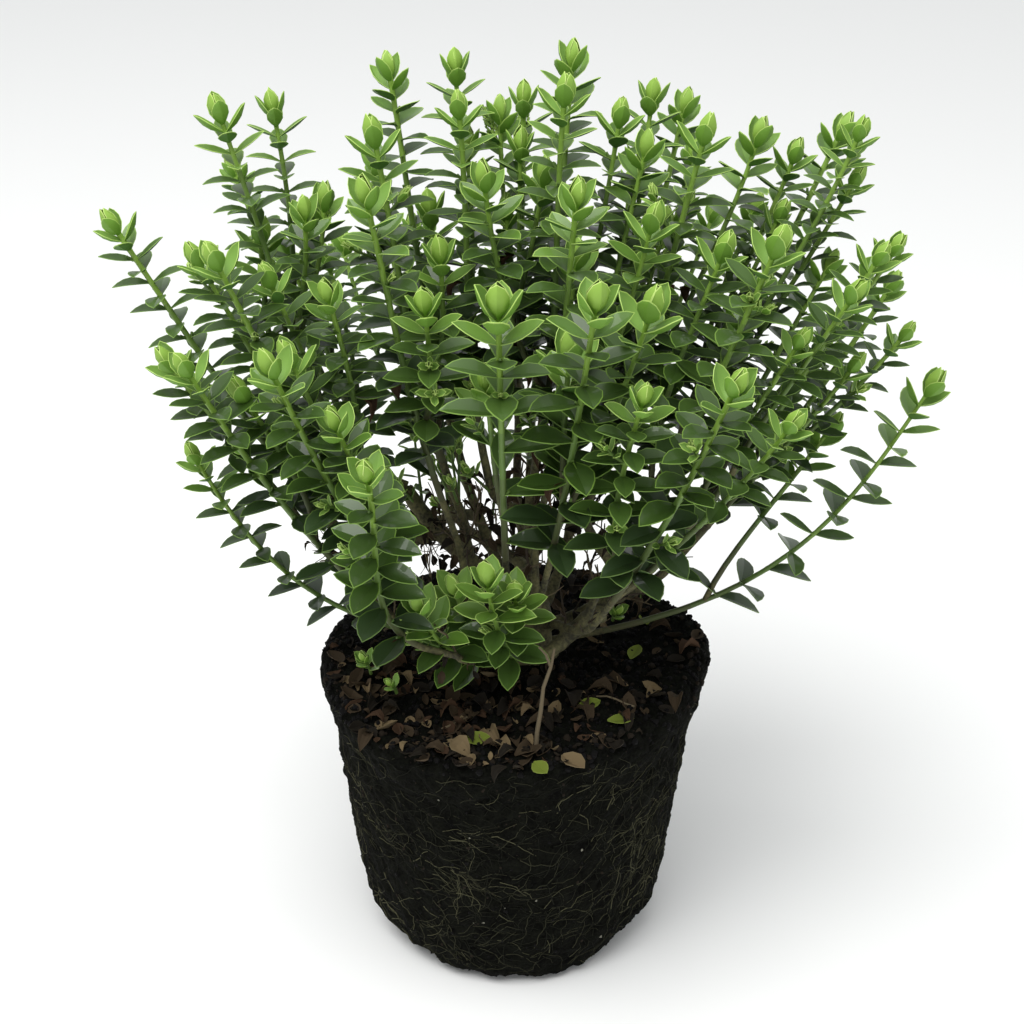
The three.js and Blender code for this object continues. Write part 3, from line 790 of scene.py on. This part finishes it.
# %% Spikes of flower buds
SPIKES = (  # the mass, the number of its shoot, and the azimuth to which the spike leans
    ("centre_back", 2, 150),
    ("right_high", 1, 60),
    ("left_high", 3, 60),
    ("back", 0, 90),
    ("back_far", 0, 60),
)
SPIKE_BUDS = 60

# a lump of twenty faces, for buds and crumbs alike
bpy.ops.mesh.primitive_ico_sphere_add(subdivisions=1, radius=0.5, location=(0, 0, 0))
lump = bpy.context.object
pick(lump, lambda at: True)
bpy.ops.transform.vertex_random(offset=0.18, seed=5)
MODELS["crumb"] = Model(lump)

spikes = []
for name, number, azimuth in SPIKES:
    stem = next(mass for mass in masses if mass["name"] == name)["shoots"][number]
    root = stem.point(1 - 24 / stem.length)
    axis = unit(stem.along(1) + heading(azimuth, 0) * 0.55)
    side = unit(np.cross(axis, UP))
    spikes.append(Stem(root, axis, root + axis * 19, axis))
    for bud in range(SPIKE_BUDS):
        share = bud / SPIKE_BUDS
        out = turned(side, np.cross(axis, side), 137.5 * bud)
        spot = root + axis * (5 + 15 * share) + out * (2.6 - 1.9 * share)
        put("crumb", "bud", spot, unit(out + axis), axis, 2.3 - 1.1 * share)
print("Flower buds:", len(SPIKES) * SPIKE_BUDS)

# %% [markdown]
# ## Joining thousands of leaves
#
# Blender can show one leaf at thousands of places with instances, but a game engine or a printer needs
# plain meshes. So the copies are worked out as arrays: each place is a matrix, and one product takes all
# the points of the model to all of its places at once. The copies of one colour become one piece.

# %% Copying models to their places
SHARP = math.radians(28)  # edges that bend more than this are shaded as edges


def hand_over(piece, node_names):
    """Attaches a piece to the root body, and hides the solids that it stands for."""
    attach(piece, "root")
    if node_names:
        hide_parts(*node_names)
    print(piece.name, "has", sum(len(face.vertices) - 2 for face in piece.data.polygons), "triangles")


def stamp(name, kinds, finishes, node_names):
    """One piece of joined copies, with each model's copies at its places. It makes millimetres metres."""
    points, corners, starts, slots = [], [], [], []
    count = loops = 0
    for model, found in kinds:
        matrices = np.array(found)
        copies = np.einsum("kij,nj->kni", matrices[:, :, :3], model.points) + matrices[:, None, :, 3]
        number = np.arange(len(found))[:, None]
        points.append(copies.reshape(-1, 3))
        corners.append((model.corners + number * len(model.points) + count).ravel())
        starts.append((model.starts + number * len(model.corners) + loops).ravel())
        slots.append(np.tile(model.finishes, len(found)))
        count += len(points[-1])
        loops += len(corners[-1])
    points, corners, starts, slots = map(np.concatenate, (points, corners, starts, slots))
    mesh = bpy.data.meshes.new(name)
    mesh.vertices.add(count)
    mesh.loops.add(loops)
    mesh.polygons.add(len(starts))
    mesh.vertices.foreach_set("co", (points * MM).ravel())
    mesh.loops.foreach_set("vertex_index", corners)
    mesh.polygons.foreach_set("loop_start", starts)
    for material in finishes:
        mesh.materials.append(material)
    mesh.update(calc_edges=True)
    mesh.polygons.foreach_set("material_index", slots)
    mesh.set_sharp_from_angle(angle=SHARP)
    made = bpy.data.objects.new(name, mesh)
    scene.collection.objects.link(made)
    hand_over(made, node_names)


# %% A piece for each colour
def stamp_colours(colours, piece, material, roughness, coat, specular, node_names):
    """A piece for each colour, with a finish each for the upper side, the rim and the underside."""
    for colour, hexes in colours.items():
        above, rim, below = (
            finish(f"{material}_{colour}_{part}", *look, Specular_IOR_Level=specular, Coat_Weight=shine)
            for part, *look, shine in zip(("above", "rim", "below"), hexes, roughness, (coat, 0, 0))
        )
        kinds = [(MODELS[model], found) for (model, name), found in places.items() if name == colour]
        stamp(f"{piece}_{colour}", kinds, [above, rim, below, rim], node_names)


# %% [markdown]
# ## Leaf finishes
#
# A hebe leaf has a waxy skin: above it is satin, and at a low angle it mirrors the sky as a grey sheen,
# while the underside is a plainer fresh green. The rim is thin and lets light through, so it looks pale.
# All of this is in the shader's own colour, roughness and coat. The tips are yellow-green, and the leaves
# darken with age down the shoot. On shoots that stand in the shade of the crown the darker greens begin
# two pairs sooner, which is painted shade. From the fifth pair down each green has three close tones, one
# for each shoot by chance, which keeps the crown from looking painted.

# %% Leaf finishes
LEAF_COLOURS = {  # upper side, rim, underside
    "bud": ("9ab858", "b9d275", "83a640"),
    "young": ("7a9e49", "a6c463", "668f2e"),
    "upper_0": ("587b29", "97b558", "446826"),
    "upper_1": ("517325", "8fad52", "3d6222"),
    "upper_2": ("618331", "9dba5e", "4a7229"),
    "middle_0": ("39531c", "6c8c39", "33541c"),
    "middle_1": ("344c19", "658431", "2d4b1a"),
    "middle_2": ("425d23", "739340", "385b20"),
    "lower_0": ("2f4420", "56702f", "243d16"),
    "lower_1": ("293c1c", "4f692a", "203716"),
    "lower_2": ("364c24", "607b36", "294519"),
}
FOLIAGE = ["foliage_" + mass["name"] for mass in masses]
stamp_colours(LEAF_COLOURS, "leaves", "waxy_leaf", (0.45, 0.5, 0.6), 0.32, 0.4, FOLIAGE)

# %% [markdown]
# ## Bark
#
# The old wood is grey-brown with an olive cast, dull, and rough with fine cracks and rings where leaves
# once stood. The pattern is noise in the space of the object, so it needs no unwrapping. It is two sizes
# of noise, one for the patches of colour, and one for the cracks, which also goes to the bump.


# %% A helper for nodes, and the bark
def add(material, kind, sockets=(), **settings):
    """Adds a node: its sockets' values or links by name or number, and its settings."""
    node = material.node_tree.nodes.new("ShaderNode" + kind)
    for name, value in settings.items():
        setattr(node, name, value)
    for socket, value in dict(sockets).items():
        if isinstance(value, bpy.types.NodeSocket):
            material.node_tree.links.new(value, node.inputs[socket])
        else:
            node.inputs[socket].default_value = value
    return node


def patchy(name, dark, light, patch, grain, relief, roughness, **sockets):
    """A dull material between two colours, with patches and grains of the given sizes in millimetres."""
    material = finish(name, dark, roughness, **sockets)
    shader = material.node_tree.nodes["Principled BSDF"]
    place_in = add(material, "TexCoord").outputs["Object"]
    patches = add(material, "TexNoise", {"Vector": place_in, "Scale": 1 / (patch * MM), "Detail": 3})
    grains = add(material, "TexNoise", {"Vector": place_in, "Scale": 1 / (grain * MM), "Detail": 4})
    both = add(material, "Math", {0: patches.outputs["Fac"], 1: grains.outputs["Fac"]}, operation="ADD")
    share = add(material, "MapRange", {"Value": both.outputs[0], "From Min": 0.75, "From Max": 1.25})
    colours = {"Factor": share.outputs[0], 6: (*linear(dark), 1), 7: (*linear(light), 1)}
    mixed = add(material, "Mix", colours, data_type="RGBA")
    heights = {"Height": grains.outputs["Fac"], "Distance": relief * MM, "Strength": 0.8}
    bump = add(material, "Bump", heights)
    material.node_tree.links.new(mixed.outputs[2], shader.inputs["Base Color"])
    material.node_tree.links.new(bump.outputs[0], shader.inputs["Normal"])
    return material


BARK = patchy("old_hebe_bark", "2c2a1a", "66633f", patch=9, grain=1.4, relief=0.4, roughness=0.85)
print("Nodes in the bark:", len(BARK.node_tree.nodes))

# %% [markdown]
# ## Shoots and twigs
#
# The young stems are round, smooth and yellow-green, about 2 to 3 mm thick, with a slight swelling at
# each pair of leaves, and down the stem they turn olive and grow a first thin bark. A curve with a round
# bevel makes a tube whose radius changes from point to point, so the swellings are just points with a
# larger radius.


# %% Stems as bevelled curves
def tube_curve(name, sides, finishes):
    """An empty curve whose splines become round tubes, with radii in millimetres."""
    curve = bpy.data.curves.new(name, "CURVE")
    curve.dimensions = "3D"
    curve.bevel_depth = MM
    curve.bevel_resolution = (sides - 4) // 2
    curve.use_fill_caps = True
    for material in finishes:
        curve.materials.append(material)
    return curve


def add_tube(curve, points, radii, slot=0):
    spline = curve.splines.new("POLY")
    spline.points.add(len(points) - 1)
    spline.points.foreach_set("co", np.column_stack([points * MM, np.ones(len(points))]).ravel())
    spline.points.foreach_set("radius", np.asarray(radii, float))
    spline.material_index = slot
    spline.use_smooth = True


def tubes_to_mesh(curve):
    tubes = bpy.data.objects.new(curve.name, curve)
    scene.collection.objects.link(tubes)
    alone(tubes)
    bpy.ops.object.convert(target="MESH")
    return bpy.context.object


# %% The finishes and widths of the shoots
STEM_FINISHES = [
    finish("smooth_stem_tip", "7b9c3b", 0.5),
    finish("smooth_bright_green_stem", "698735", 0.5),
    finish("smooth_green_stem", "587430", 0.55),
    finish("ripening_green_stem", "4e612c", 0.6),
    finish("ripening_olive_stem", "454f28", 0.65),
    finish("first_thin_bark", "47492b", 0.75),
    BARK,
]
TWIG_SLOT = 2
LEADER_RADII, LOW_RADII, SIDE_RADII = (1.35, 1.05), (1.7, 1.15, 0.85), (1.4, 1.15, 0.9)
LEADER_TURNS = (0.12, 0.2, 0.3, 0.42, 0.57, 0.74)  # where one finish meets the next, from the foot
SIDE_TURNS = (0.09, 0.17, 0.28, 0.4, 0.56, 0.74)


def add_stem(curve, stem, radii, turns):
    """A stem as tubes end to end, each in its own finish, with a swelling at each node."""
    swollen = [at + step / stem.length for at in stem.nodes for step in (-1.2, 0, 1.2)]
    marks = np.unique(np.clip(np.concatenate([np.linspace(0, 1, 12), swollen]), 0, 1))
    widths = np.interp(marks, (0, 0.4, 1), radii)
    nodes = np.array(stem.nodes or [9])  # with no leaves on it, nothing is near a node
    widths *= 1 + 0.13 * (np.abs(marks[:, None] - nodes).min(1) * stem.length < 0.3)
    kept = marks < stem.top - 8 / stem.length
    marks, widths = marks[kept], widths[kept]
    ends = [0, *turns, 1]
    for slot, (low, high) in enumerate(zip(ends, ends[1:])):
        inside = (marks > low) & (marks < high)
        at = np.concatenate([[low], marks[inside], [min(high, marks[-1])]])
        if at[-1] > at[0]:
            add_tube(curve, stem.point(at), np.interp(at, marks, widths), len(turns) - slot)


def elbow_radius(point):
    """How thick a limb is where its leading shoot begins: thin at the front, and thickest at the left."""
    x, y = point[:2]
    if y < -20:
        return 1.5
    return 3.2 if x < -40 and y < 10 else 1.9


# %% All shoots and twigs
leaders = tube_curve("leading_shoots", 8, STEM_FINISHES)
side_shoots = tube_curve("side_shoots", 8, STEM_FINISHES)
for mass in masses:
    leader, *others = mass["shoots"]
    radii = LOW_RADII if mass["low"] else (elbow_radius(leader.handles[0]), *LEADER_RADII)
    add_stem(leaders, leader, radii, LEADER_TURNS)
    for shoot in others:
        add_stem(side_shoots, shoot, SIDE_RADII, SIDE_TURNS)
for twig in twigs + spikes:
    marks = np.linspace(0, 1 - min(0.5, 3 / twig.length), 5)
    add_tube(side_shoots, twig.point(marks), np.linspace(0.75, 0.5, 5), TWIG_SLOT)
hand_over(tubes_to_mesh(leaders), FOLIAGE)
hand_over(tubes_to_mesh(side_shoots), FOLIAGE)

# %% [markdown]
# ## The woody frame
#
# Boughs and branches are tubes as well, but where real limbs meet, the wood flows together. So all of
# them are joined with the stem base and remeshed as one skin, which is then smoothed at the forks and
# roughened by a cloud texture. The rings of old leaf scars are in the radii of the tubes. One low stem
# was pruned, and its stub lies on the compost.

# %% Boughs, branches and a pruned stub
STUB_TOP, STUB_END = np.array([39, -11, SOIL + 27]), np.array([14.3, -29, SOIL + 16])
wood = tube_curve("woody_frame", 12, [BARK])


def add_limb(curve, stem, foot_radius, tip_radius):
    marks = np.linspace(0, 1, max(8, round(stem.length / 2.5)))
    widths = lerp(foot_radius, tip_radius, marks) * (1 + 0.07 * (np.arange(len(marks)) % 3 == 0))
    add_tube(curve, stem.point(marks), widths)


for limb in limbs:
    tip_radius = elbow_radius(limb["stem"].handles[3]) + 0.1
    add_limb(wood, limb["stem"], min(1.4 * tip_radius, limb["radius"]), tip_radius)
add_limb(wood, Stem(STUB_TOP, heading(-140, 0), STUB_END, heading(-140, -14)), 4.6, 2.9)
wood = tubes_to_mesh(wood)
print("Points of the limbs:", len(wood.data.vertices))


# %% The stem base
STEM_FOOT = [(14, 0.3), (11, 3.8), (9.5, 10.8), (9.8, 19.4), (8.5, 25.1), (4.8, 27)]


def ringed(name, stations, sides, centre_x=0):
    """A solid of stacked rings: a filled circle drawn up ring by ring, each a radius and a height."""
    radius, height = stations[0]
    circle = {"vertices": sides, "radius": radius * MM, "fill_type": "NGON"}
    bpy.ops.mesh.primitive_circle_add(**circle, location=(centre_x * MM, 0, height * MM))
    solid = bpy.context.object
    solid.name = name
    bpy.ops.object.transform_apply()
    pick(solid, lambda at: True)
    for (last_radius, last_height), (radius, height) in zip(stations, stations[1:]):
        up = (0, 0, (height - last_height) * MM)
        bpy.ops.mesh.extrude_region_move(TRANSFORM_OT_translate={"value": up})
        scale = radius / last_radius
        bpy.ops.transform.resize(value=(scale, scale, 1), center_override=(centre_x * MM, 0, 0))
    bpy.ops.mesh.select_all(action="SELECT")
    bpy.ops.mesh.normals_make_consistent(inside=False)
    return alone(solid)


def roughen(item, name, size, strength, depth=2):
    """Moves the surface in and out by a cloud texture, with clouds and a strength in millimetres."""
    texture = bpy.data.textures.new(name, "CLOUDS")
    texture.noise_scale = size * MM
    texture.noise_depth = depth
    apply(item, "DISPLACE", texture=texture, strength=strength * MM, mid_level=0.5)


def cover(item, material):
    """Shades an object smooth, in one material."""
    alone(item)
    bpy.ops.object.shade_smooth()
    item.data.materials.clear()
    item.data.materials.append(material)


# %% One skin over all the wood
base = ringed("stem_foot", [(radius, SOIL + height) for radius, height in STEM_FOOT], 40, STEM_BASE["x"])
base.select_set(True)
wood.select_set(True)
bpy.context.view_layer.objects.active = wood
bpy.ops.object.join()
apply(wood, "REMESH", mode="VOXEL", voxel_size=0.9 * MM)
apply(wood, "SMOOTH", factor=0.5, iterations=3)
roughen(wood, "bark_knots", 6, 0.8)
cover(wood, BARK)
hand_over(wood, ["stem_base"] + [limb["name"] for limb in limbs])

# %% [markdown]
# ## The root ball
#
# The ball keeps the shape of the pot it grew in: a taper, a shallow channel under each of the four drain
# holes, and a collar where the compost swelled over the rim. It is drawn up from rings, and the channels
# are cut with a Boolean. A voxel remesh then gives it an even skin of small faces, which displacement can
# roughen: first in clumps, then in crumbs. The upper part slumped after the pot came off, by a rule of a
# few sines.

# %% The ball's rings and channels
BALL = [
    (58, 0), (65, 4.2), (68, 15), (73.25, 54), (78.5, 93), (80.2, 105.6),
    (83.8, 115.4), (87, 128), (84.6, 131.75), (81, 133), (24, 135),
]
CHANNEL_AZIMUTHS = (-40, 50, 140, 230)
CHANNEL_REACH, CHANNEL_RADIUS, CHANNEL_DEPTH, CHANNEL_LENGTH = 64, 13, 8, 32
ball = ringed("root_ball_compost", BALL, 96)
for azimuth in CHANNEL_AZIMUTHS:
    middle = heading(azimuth, 0) * CHANNEL_REACH + [0, 0, CHANNEL_DEPTH - CHANNEL_RADIUS]
    rod = {"vertices": 32, "radius": CHANNEL_RADIUS * MM, "depth": CHANNEL_LENGTH * MM}
    outwards = (0, math.radians(90), math.radians(azimuth))
    bpy.ops.mesh.primitive_cylinder_add(**rod, location=middle * MM, rotation=outwards)
    cutter = bpy.context.object
    apply(ball, "BOOLEAN", object=cutter, operation="DIFFERENCE", solver="EXACT")
    bpy.data.objects.remove(cutter)
apply(ball, "REMESH", mode="VOXEL", voxel_size=1.25 * MM)
print("Points of the ball:", len(ball.data.vertices))

# %% The slump, the clumps and the crumbs
WALL_TOP, WALL_RADIUS = 93, 78.5  # above this height the compost is loose
LEVEL_REACH = 24  # and within this reach it stayed level


def read_points(item):
    return read(item.data.vertices, "co", width=3) / MM


def write_points(item, points):
    item.data.vertices.foreach_set("co", (points * MM).ravel())
    item.data.update()


def slumped(points):
    """The points after the upper part has slumped unevenly and the lower edge has crumbled at the sides."""
    x, y, z = points.T
    reach, turn = np.hypot(x, y), np.arctan2(y, x)
    outward = np.clip((reach - LEVEL_REACH) / (WALL_RADIUS - LEVEL_REACH), 0, 1)
    loose = np.clip((z - WALL_TOP) / 35, 0, 1) * outward
    lobes = 1.3 * (np.sin(3 * turn + 1) + np.sin(5 * turn)) + 2.4 * np.sin(turn)
    chipped = np.clip((20 - z) / 20, 0, 1) * np.clip((reach - 20) / 38, 0, 1) * (5 + 4.5 * np.cos(2 * turn))
    stretch = 1 + (loose * lobes - chipped) / np.maximum(reach, 1)
    return np.column_stack([x * stretch, y * stretch, z + loose * 3 * np.cos(turn - math.radians(25))])


smooth = slumped(read_points(ball))
write_points(ball, smooth)
roughen(ball, "compost_clumps", 14, 4.4)
roughen(ball, "compost_crumbs", 4.5, 4.2, 3)
held = np.clip((smooth[:, 2] - 105) / 20, 0.75, 1)  # the roots hold the wall smoother than the top
rough = lerp(smooth, read_points(ball), held[:, None])
rough[smooth[:, 2] < 0.6, 2] = 0
rough[:, 2] = np.maximum(rough[:, 2], 0)
write_points(ball, rough)
# damp peat is nearly black, and so rough that it hardly shines
peat_look = {"patch": 7, "grain": 1.3, "relief": 0.9, "roughness": 0.95, "Specular_IOR_Level": 0.06}
cover(ball, patchy("damp_black_peat", "030302", "11120d", **peat_look))
hand_over(ball, ["root_ball"])

# %% [markdown]
# ## Roots on the wall
#
# What holds the ball together is a felt of fine roots, which ran round the pot's wall for want of
# anywhere else to go. Each root is a short walk over the wall: at each step it turns a little, and a ray
# cast towards the ball's axis lays it on the compost. Many run alone, and some run in bundles.

# %% Laying roots on the wall
ROOT_STEP = 2.6
LONE_ROOTS = 1900
BUNDLES = 40
ROOTS_IN_BUNDLE = 14
FRONT_AZIMUTH, FRONT_HEIGHTS = -44, (28, 40, 52, 64)  # the first bundles form a band at the front right
ROOT_FINISHES = [  # fine roots are tan while they are fresh, and darken as they age or sink into the peat
    finish("pale_tan_root", "4b4a36", 0.8, Specular_IOR_Level=0.15),
    finish("olive_root", "313124", 0.85, Specular_IOR_Level=0.1),
    finish("dark_root", "1a1b14", 0.9, Specular_IOR_Level=0.1),
]
LONE_SHARES, BUNDLE_SHARES = (0.06, 0.34, 0.6), (0.26, 0.4, 0.34)  # how many roots have each finish
skin = BVHTree.FromObject(ball, bpy.context.evaluated_depsgraph_get())


def wall(azimuth, height):
    """The place on the ball's wall at an azimuth and height, and the wall's normal there."""
    way = heading(azimuth, 0)
    spot, normal = skin.ray_cast(Vector(way * 0.12 + [0, 0, height * MM]), Vector(-way))[:2]
    return np.array(spot) / MM, np.array(normal)


def add_root(curve, azimuth, height, slope, length, radius, slot):
    """One root that starts on the wall and runs along it, sloping up by an angle that wavers."""
    points = []
    while len(points) < length / ROOT_STEP and 2 < height < 127:
        spot, normal = wall(azimuth, height)
        points.append(spot + normal * radius * 0.5)
        slope += stray.normal(0, 22)
        azimuth += math.degrees(ROOT_STEP * math.cos(math.radians(slope)) / 76)
        height += ROOT_STEP * math.sin(math.radians(slope))
    if len(points) > 3:
        add_tube(curve, np.array(points), np.linspace(radius, radius * 0.5, len(points)), slot)


def general_slope(azimuth):
    """The way most roots run: up to the right at the front right, and steeply down at the left."""
    return 18 + 34 * math.sin(math.radians(2 * azimuth + 170))


# %% Lone roots and bundles
roots = tube_curve("fine_roots", 4, ROOT_FINISHES)
for _ in range(LONE_ROOTS):
    azimuth = stray.uniform(0, 360)
    slope = general_slope(azimuth) + stray.normal(0, 30)
    slot = stray.choice(3, p=LONE_SHARES)
    height, length = stray.uniform(4, 124), 7 + 26 * stray.random() ** 2
    add_root(roots, azimuth, height, slope, length, stray.uniform(0.12, 0.26), slot)
for number in range(BUNDLES):
    in_front = number < len(FRONT_HEIGHTS)
    azimuth = FRONT_AZIMUTH if in_front else stray.uniform(0, 360)
    height = FRONT_HEIGHTS[number] if in_front else stray.uniform(15, 105)
    slope = general_slope(azimuth) + stray.normal(0, 12)
    for _ in range(ROOTS_IN_BUNDLE):
        start = (azimuth + stray.normal(0, 6), np.clip(height + stray.normal(0, 5), 4, 120))
        slot = stray.choice(3, p=BUNDLE_SHARES)
        course = (slope + stray.normal(0, 18), stray.uniform(9, 34), stray.uniform(0.12, 0.25))
        add_root(roots, *start, *course, slot)
hand_over(tubes_to_mesh(roots), [])

# %% [markdown]
# ## Litter and crumbs
#
# On top lie dry leaves that fell from the inside of the crown, curled as they dried, and loose crumbs of
# compost. The dry leaf is the same leaf model with a deep cup and a strong bow, and a crumb is the ball
# of twenty faces that made the flower buds. All of them are laid on the compost by rays cast down.

# %% Dry leaves and crumbs
MODELS["curled"] = leaf_model(0.60, 0.50, 0.95, True, 0.26, -0.22, rows=4)
MODELS["folded"] = leaf_model(0.66, 0.46, 0.7, False, -0.10, 0.12, rows=4)
MODELS["crisp"] = leaf_model(0.58, 0.55, 0.4, True, -0.18, 0.26, rows=4)
LITTER_TRIES, TOP_CRUMBS, WALL_CRUMBS = 2100, 3400, 1700
LITTER_SIDE = -112  # the azimuth where most litter lies
DRY = ("dry_brown", "dry_tan", "dry_red", "dry_dark")
CRUMBS = ("crumb_black", "crumb_brown", "crumb_white")
FALLEN = (  # leaves that fell green: where they lie, and the azimuth they point to
    (40, -57, 8), (28, -46, 30), (9, -83, -60), (52, -8, 70),
    (-20, -70, 20), (60, 20, 100), (-50, 40, 10),
)


def ground(x, y):
    """The place on top of the compost and its normal there. The ray slants in, to find the shoulder too."""
    start = Vector((1.4 * x * MM, 1.4 * y * MM, 0.2))
    spot, normal = skin.ray_cast(start, Vector((x * MM, y * MM, 0.132)) - start)[:2]
    return np.array(spot) / MM, np.array(normal)


def lay(kind, x, y, length, sink=0.5, tilt=15, azimuth=None):
    """Notes a place for something that lies on the compost."""
    spot, normal = ground(x, y)
    azimuth = stray.uniform(0, 360) if azimuth is None else azimuth
    way = heading(azimuth, stray.normal(0, tilt))
    upper = unit(lerp(normal, UP, 0.5) + stray.normal(0, 0.25, 3))
    put(*kind, spot + UP * sink, way, square_to(upper, way), length, stray.normal(1, 0.1))


# %% Strewing the litter and the crumbs
for _ in range(LITTER_TRIES):
    x, y = stray.uniform(-90, 90, 2)
    near = max(0, math.cos(math.atan2(y, x) - math.radians(LITTER_SIDE)))
    on_top = 11 < math.hypot(x - STEM_BASE["x"], y) and math.hypot(x, y) < 79 + 8 * near
    if on_top and stray.random() < 0.2 + 0.5 * near:
        model = ("curled", "folded", "crisp")[stray.integers(3)]
        colour = DRY[stray.choice(4, p=(0.33, 0.15, 0.14, 0.38))]
        lay((model, colour), x, y, 3.4 + 9 * stray.random() ** 1.5, 0.9)
for x, y, azimuth in FALLEN:
    lay(("lifted", "fallen"), x, y, 11.5, 1.6, 6, azimuth)
for _ in range(TOP_CRUMBS):
    x, y = heading(stray.uniform(0, 360), 0)[:2] * 88 * math.sqrt(stray.uniform(0.04, 1))
    size = 0.8 + 3 * stray.random() ** 3
    lay(("crumb", CRUMBS[stray.random() < 0.25]), x, y, size, 0.2, 90)
for _ in range(WALL_CRUMBS):
    spot, normal = wall(stray.uniform(0, 360), stray.uniform(3, 126))
    colour = CRUMBS[stray.choice(3, p=(0.72, 0.26, 0.02))]
    size = 0.7 + 1.7 * stray.random() ** 2
    put("crumb", colour, spot - normal * 0.2 * size, unit(stray.normal(0, 1, 3)), UP, size)
print("Dry leaves:", sum(len(found) for (_, colour), found in places.items() if colour in DRY))

# %% [markdown]
# ## Dead twigs
#
# Inside an old shrub the lowest twigs have died for want of light: thin, brown and crooked, and some
# still hold a dry leaf. They could be drawn one by one, but a random walk that leans upwards does it as
# well, and a fork is the same walk, called again with fewer steps. One dead stalk still stands, and a few
# sticks lie about.

# %% The course of a dead twig
DEAD_TWIGS = 110

# dead wood is dull, and bleaches from brown to grey where the weather reaches it
DEAD_FINISHES = [finish("dead_brown_twig", "33291c", 0.9), finish("weathered_twig", "5b503b", 0.9)]
STALK = np.array(
    [(10, -74, 0), (10.5, -73, 9), (12, -72, 19), (13, -70.5, 29), (16, -69, 38), (17.5, -66, 45)]
)
STALK_FORK = np.array([(0, 0, 0), (-2, 0, 6), (-5, 1, 9)])
STICKS = ((-30, -60, 20, 4, 0.7), (52, -46, 160, 5, 0.6), (-58, 20, 60, 5, 0.7))
dead = tube_curve("dead_twigs", 4, DEAD_FINISHES)


def add_twig(root, way, steps, radius, slot):
    """A dry twig, which bends a little at each step, and may fork or hold a dead leaf there."""
    points = [root]
    for step in range(steps):
        way = unit(way + stray.normal(0, 0.24, 3) + UP * 0.06)
        points.append(points[-1] + way * stray.uniform(3, 5.5))
        dice = stray.random()
        if dice < 0.3 and steps > 2:
            add_twig(points[-1], unit(way + stray.normal(0, 0.6, 3)), steps - step - 1, radius * 0.7, slot)
        elif dice < 0.42:
            colour = ("dry_brown", "dry_dark")[stray.integers(2)]
            hang = unit(stray.normal(0, 1, 3) - UP)
            put("curled", colour, points[-1], hang, unit(UP + way), stray.uniform(4, 9))
    if len(points) > 1:
        add_tube(dead, np.array(points), np.linspace(radius, radius * 0.45, len(points)), slot)


# %% Twigs among the limbs, a stalk, and sticks
for _ in range(DEAD_TWIGS):
    limb = limbs[stray.integers(len(limbs))]["stem"]
    at = stray.uniform(0.1, 0.95)
    way = unit(heading(stray.uniform(0, 360), 0) + limb.along(at) + UP * 0.3)
    steps, radius, slot = int(stray.integers(3, 9)), stray.uniform(0.4, 0.75), int(stray.integers(2))
    add_twig(limb.point(at), way, steps, radius, slot)
standing = STALK + UP * (ground(*STALK[0, :2])[0][2] - 1)
add_tube(dead, standing, (1.2, 1.05, 1, 0.85, 0.8, 0.6), 1)
add_tube(dead, standing[4] + STALK_FORK, (0.7, 0.6, 0.4), 1)
for x, y, azimuth, steps, radius in STICKS:
    points = []
    for step in range(steps):
        points.append(ground(x, y)[0] + UP * (1.6 + stray.uniform(0, 1)))
        azimuth += stray.normal(0, 9)
        x, y = np.array([x, y]) + heading(azimuth, 0)[:2] * 4.4
    add_tube(dead, np.array(points), np.linspace(radius, radius * 0.7, steps), 1)
hand_over(tubes_to_mesh(dead), [])

# %% [markdown]
# ## Litter finishes
#
# Dry leaves are dull, and run from nearly black to tan as they rot or bleach. Each is darker above than
# below, where it kept some of its bloom. Crumbs have one colour all over, because they are too small to
# show more.

# %% Leaves that died on the shoots, and all the litter's finishes
HANGING_DEAD = 26
shaded = [
    (centre, out)
    for _, centre, out, _, number in axils
    if number > 8 and math.hypot(*centre[:2]) < 85
]
for index in stray.choice(len(shaded), HANGING_DEAD, replace=False):
    centre, out = shaded[index]
    put("curled", "dry_red", centre + out * 2, unit(out * 0.7 - UP), unit(UP + out), stray.uniform(7, 12))

GROUND_COLOURS = {
    "dry_brown": ("372d20", "3d3224", "463a2a"),
    "dry_tan": ("695a41", "6d5f46", "7a6b50"),
    "dry_red": ("3b2b1e", "433122", "493728"),
    "dry_dark": ("1a1610", "221d15", "251f16"),
    "fallen": ("64712a", "76833a", "6b7a36"),
    "crumb_black": ("060505",) * 3,
    "crumb_brown": ("1c160f",) * 3,
    "crumb_white": ("77766a",) * 3,
}
stamp_colours(GROUND_COLOURS, "litter", "litter", (0.85, 0.85, 0.85), 0, 0.15, [])
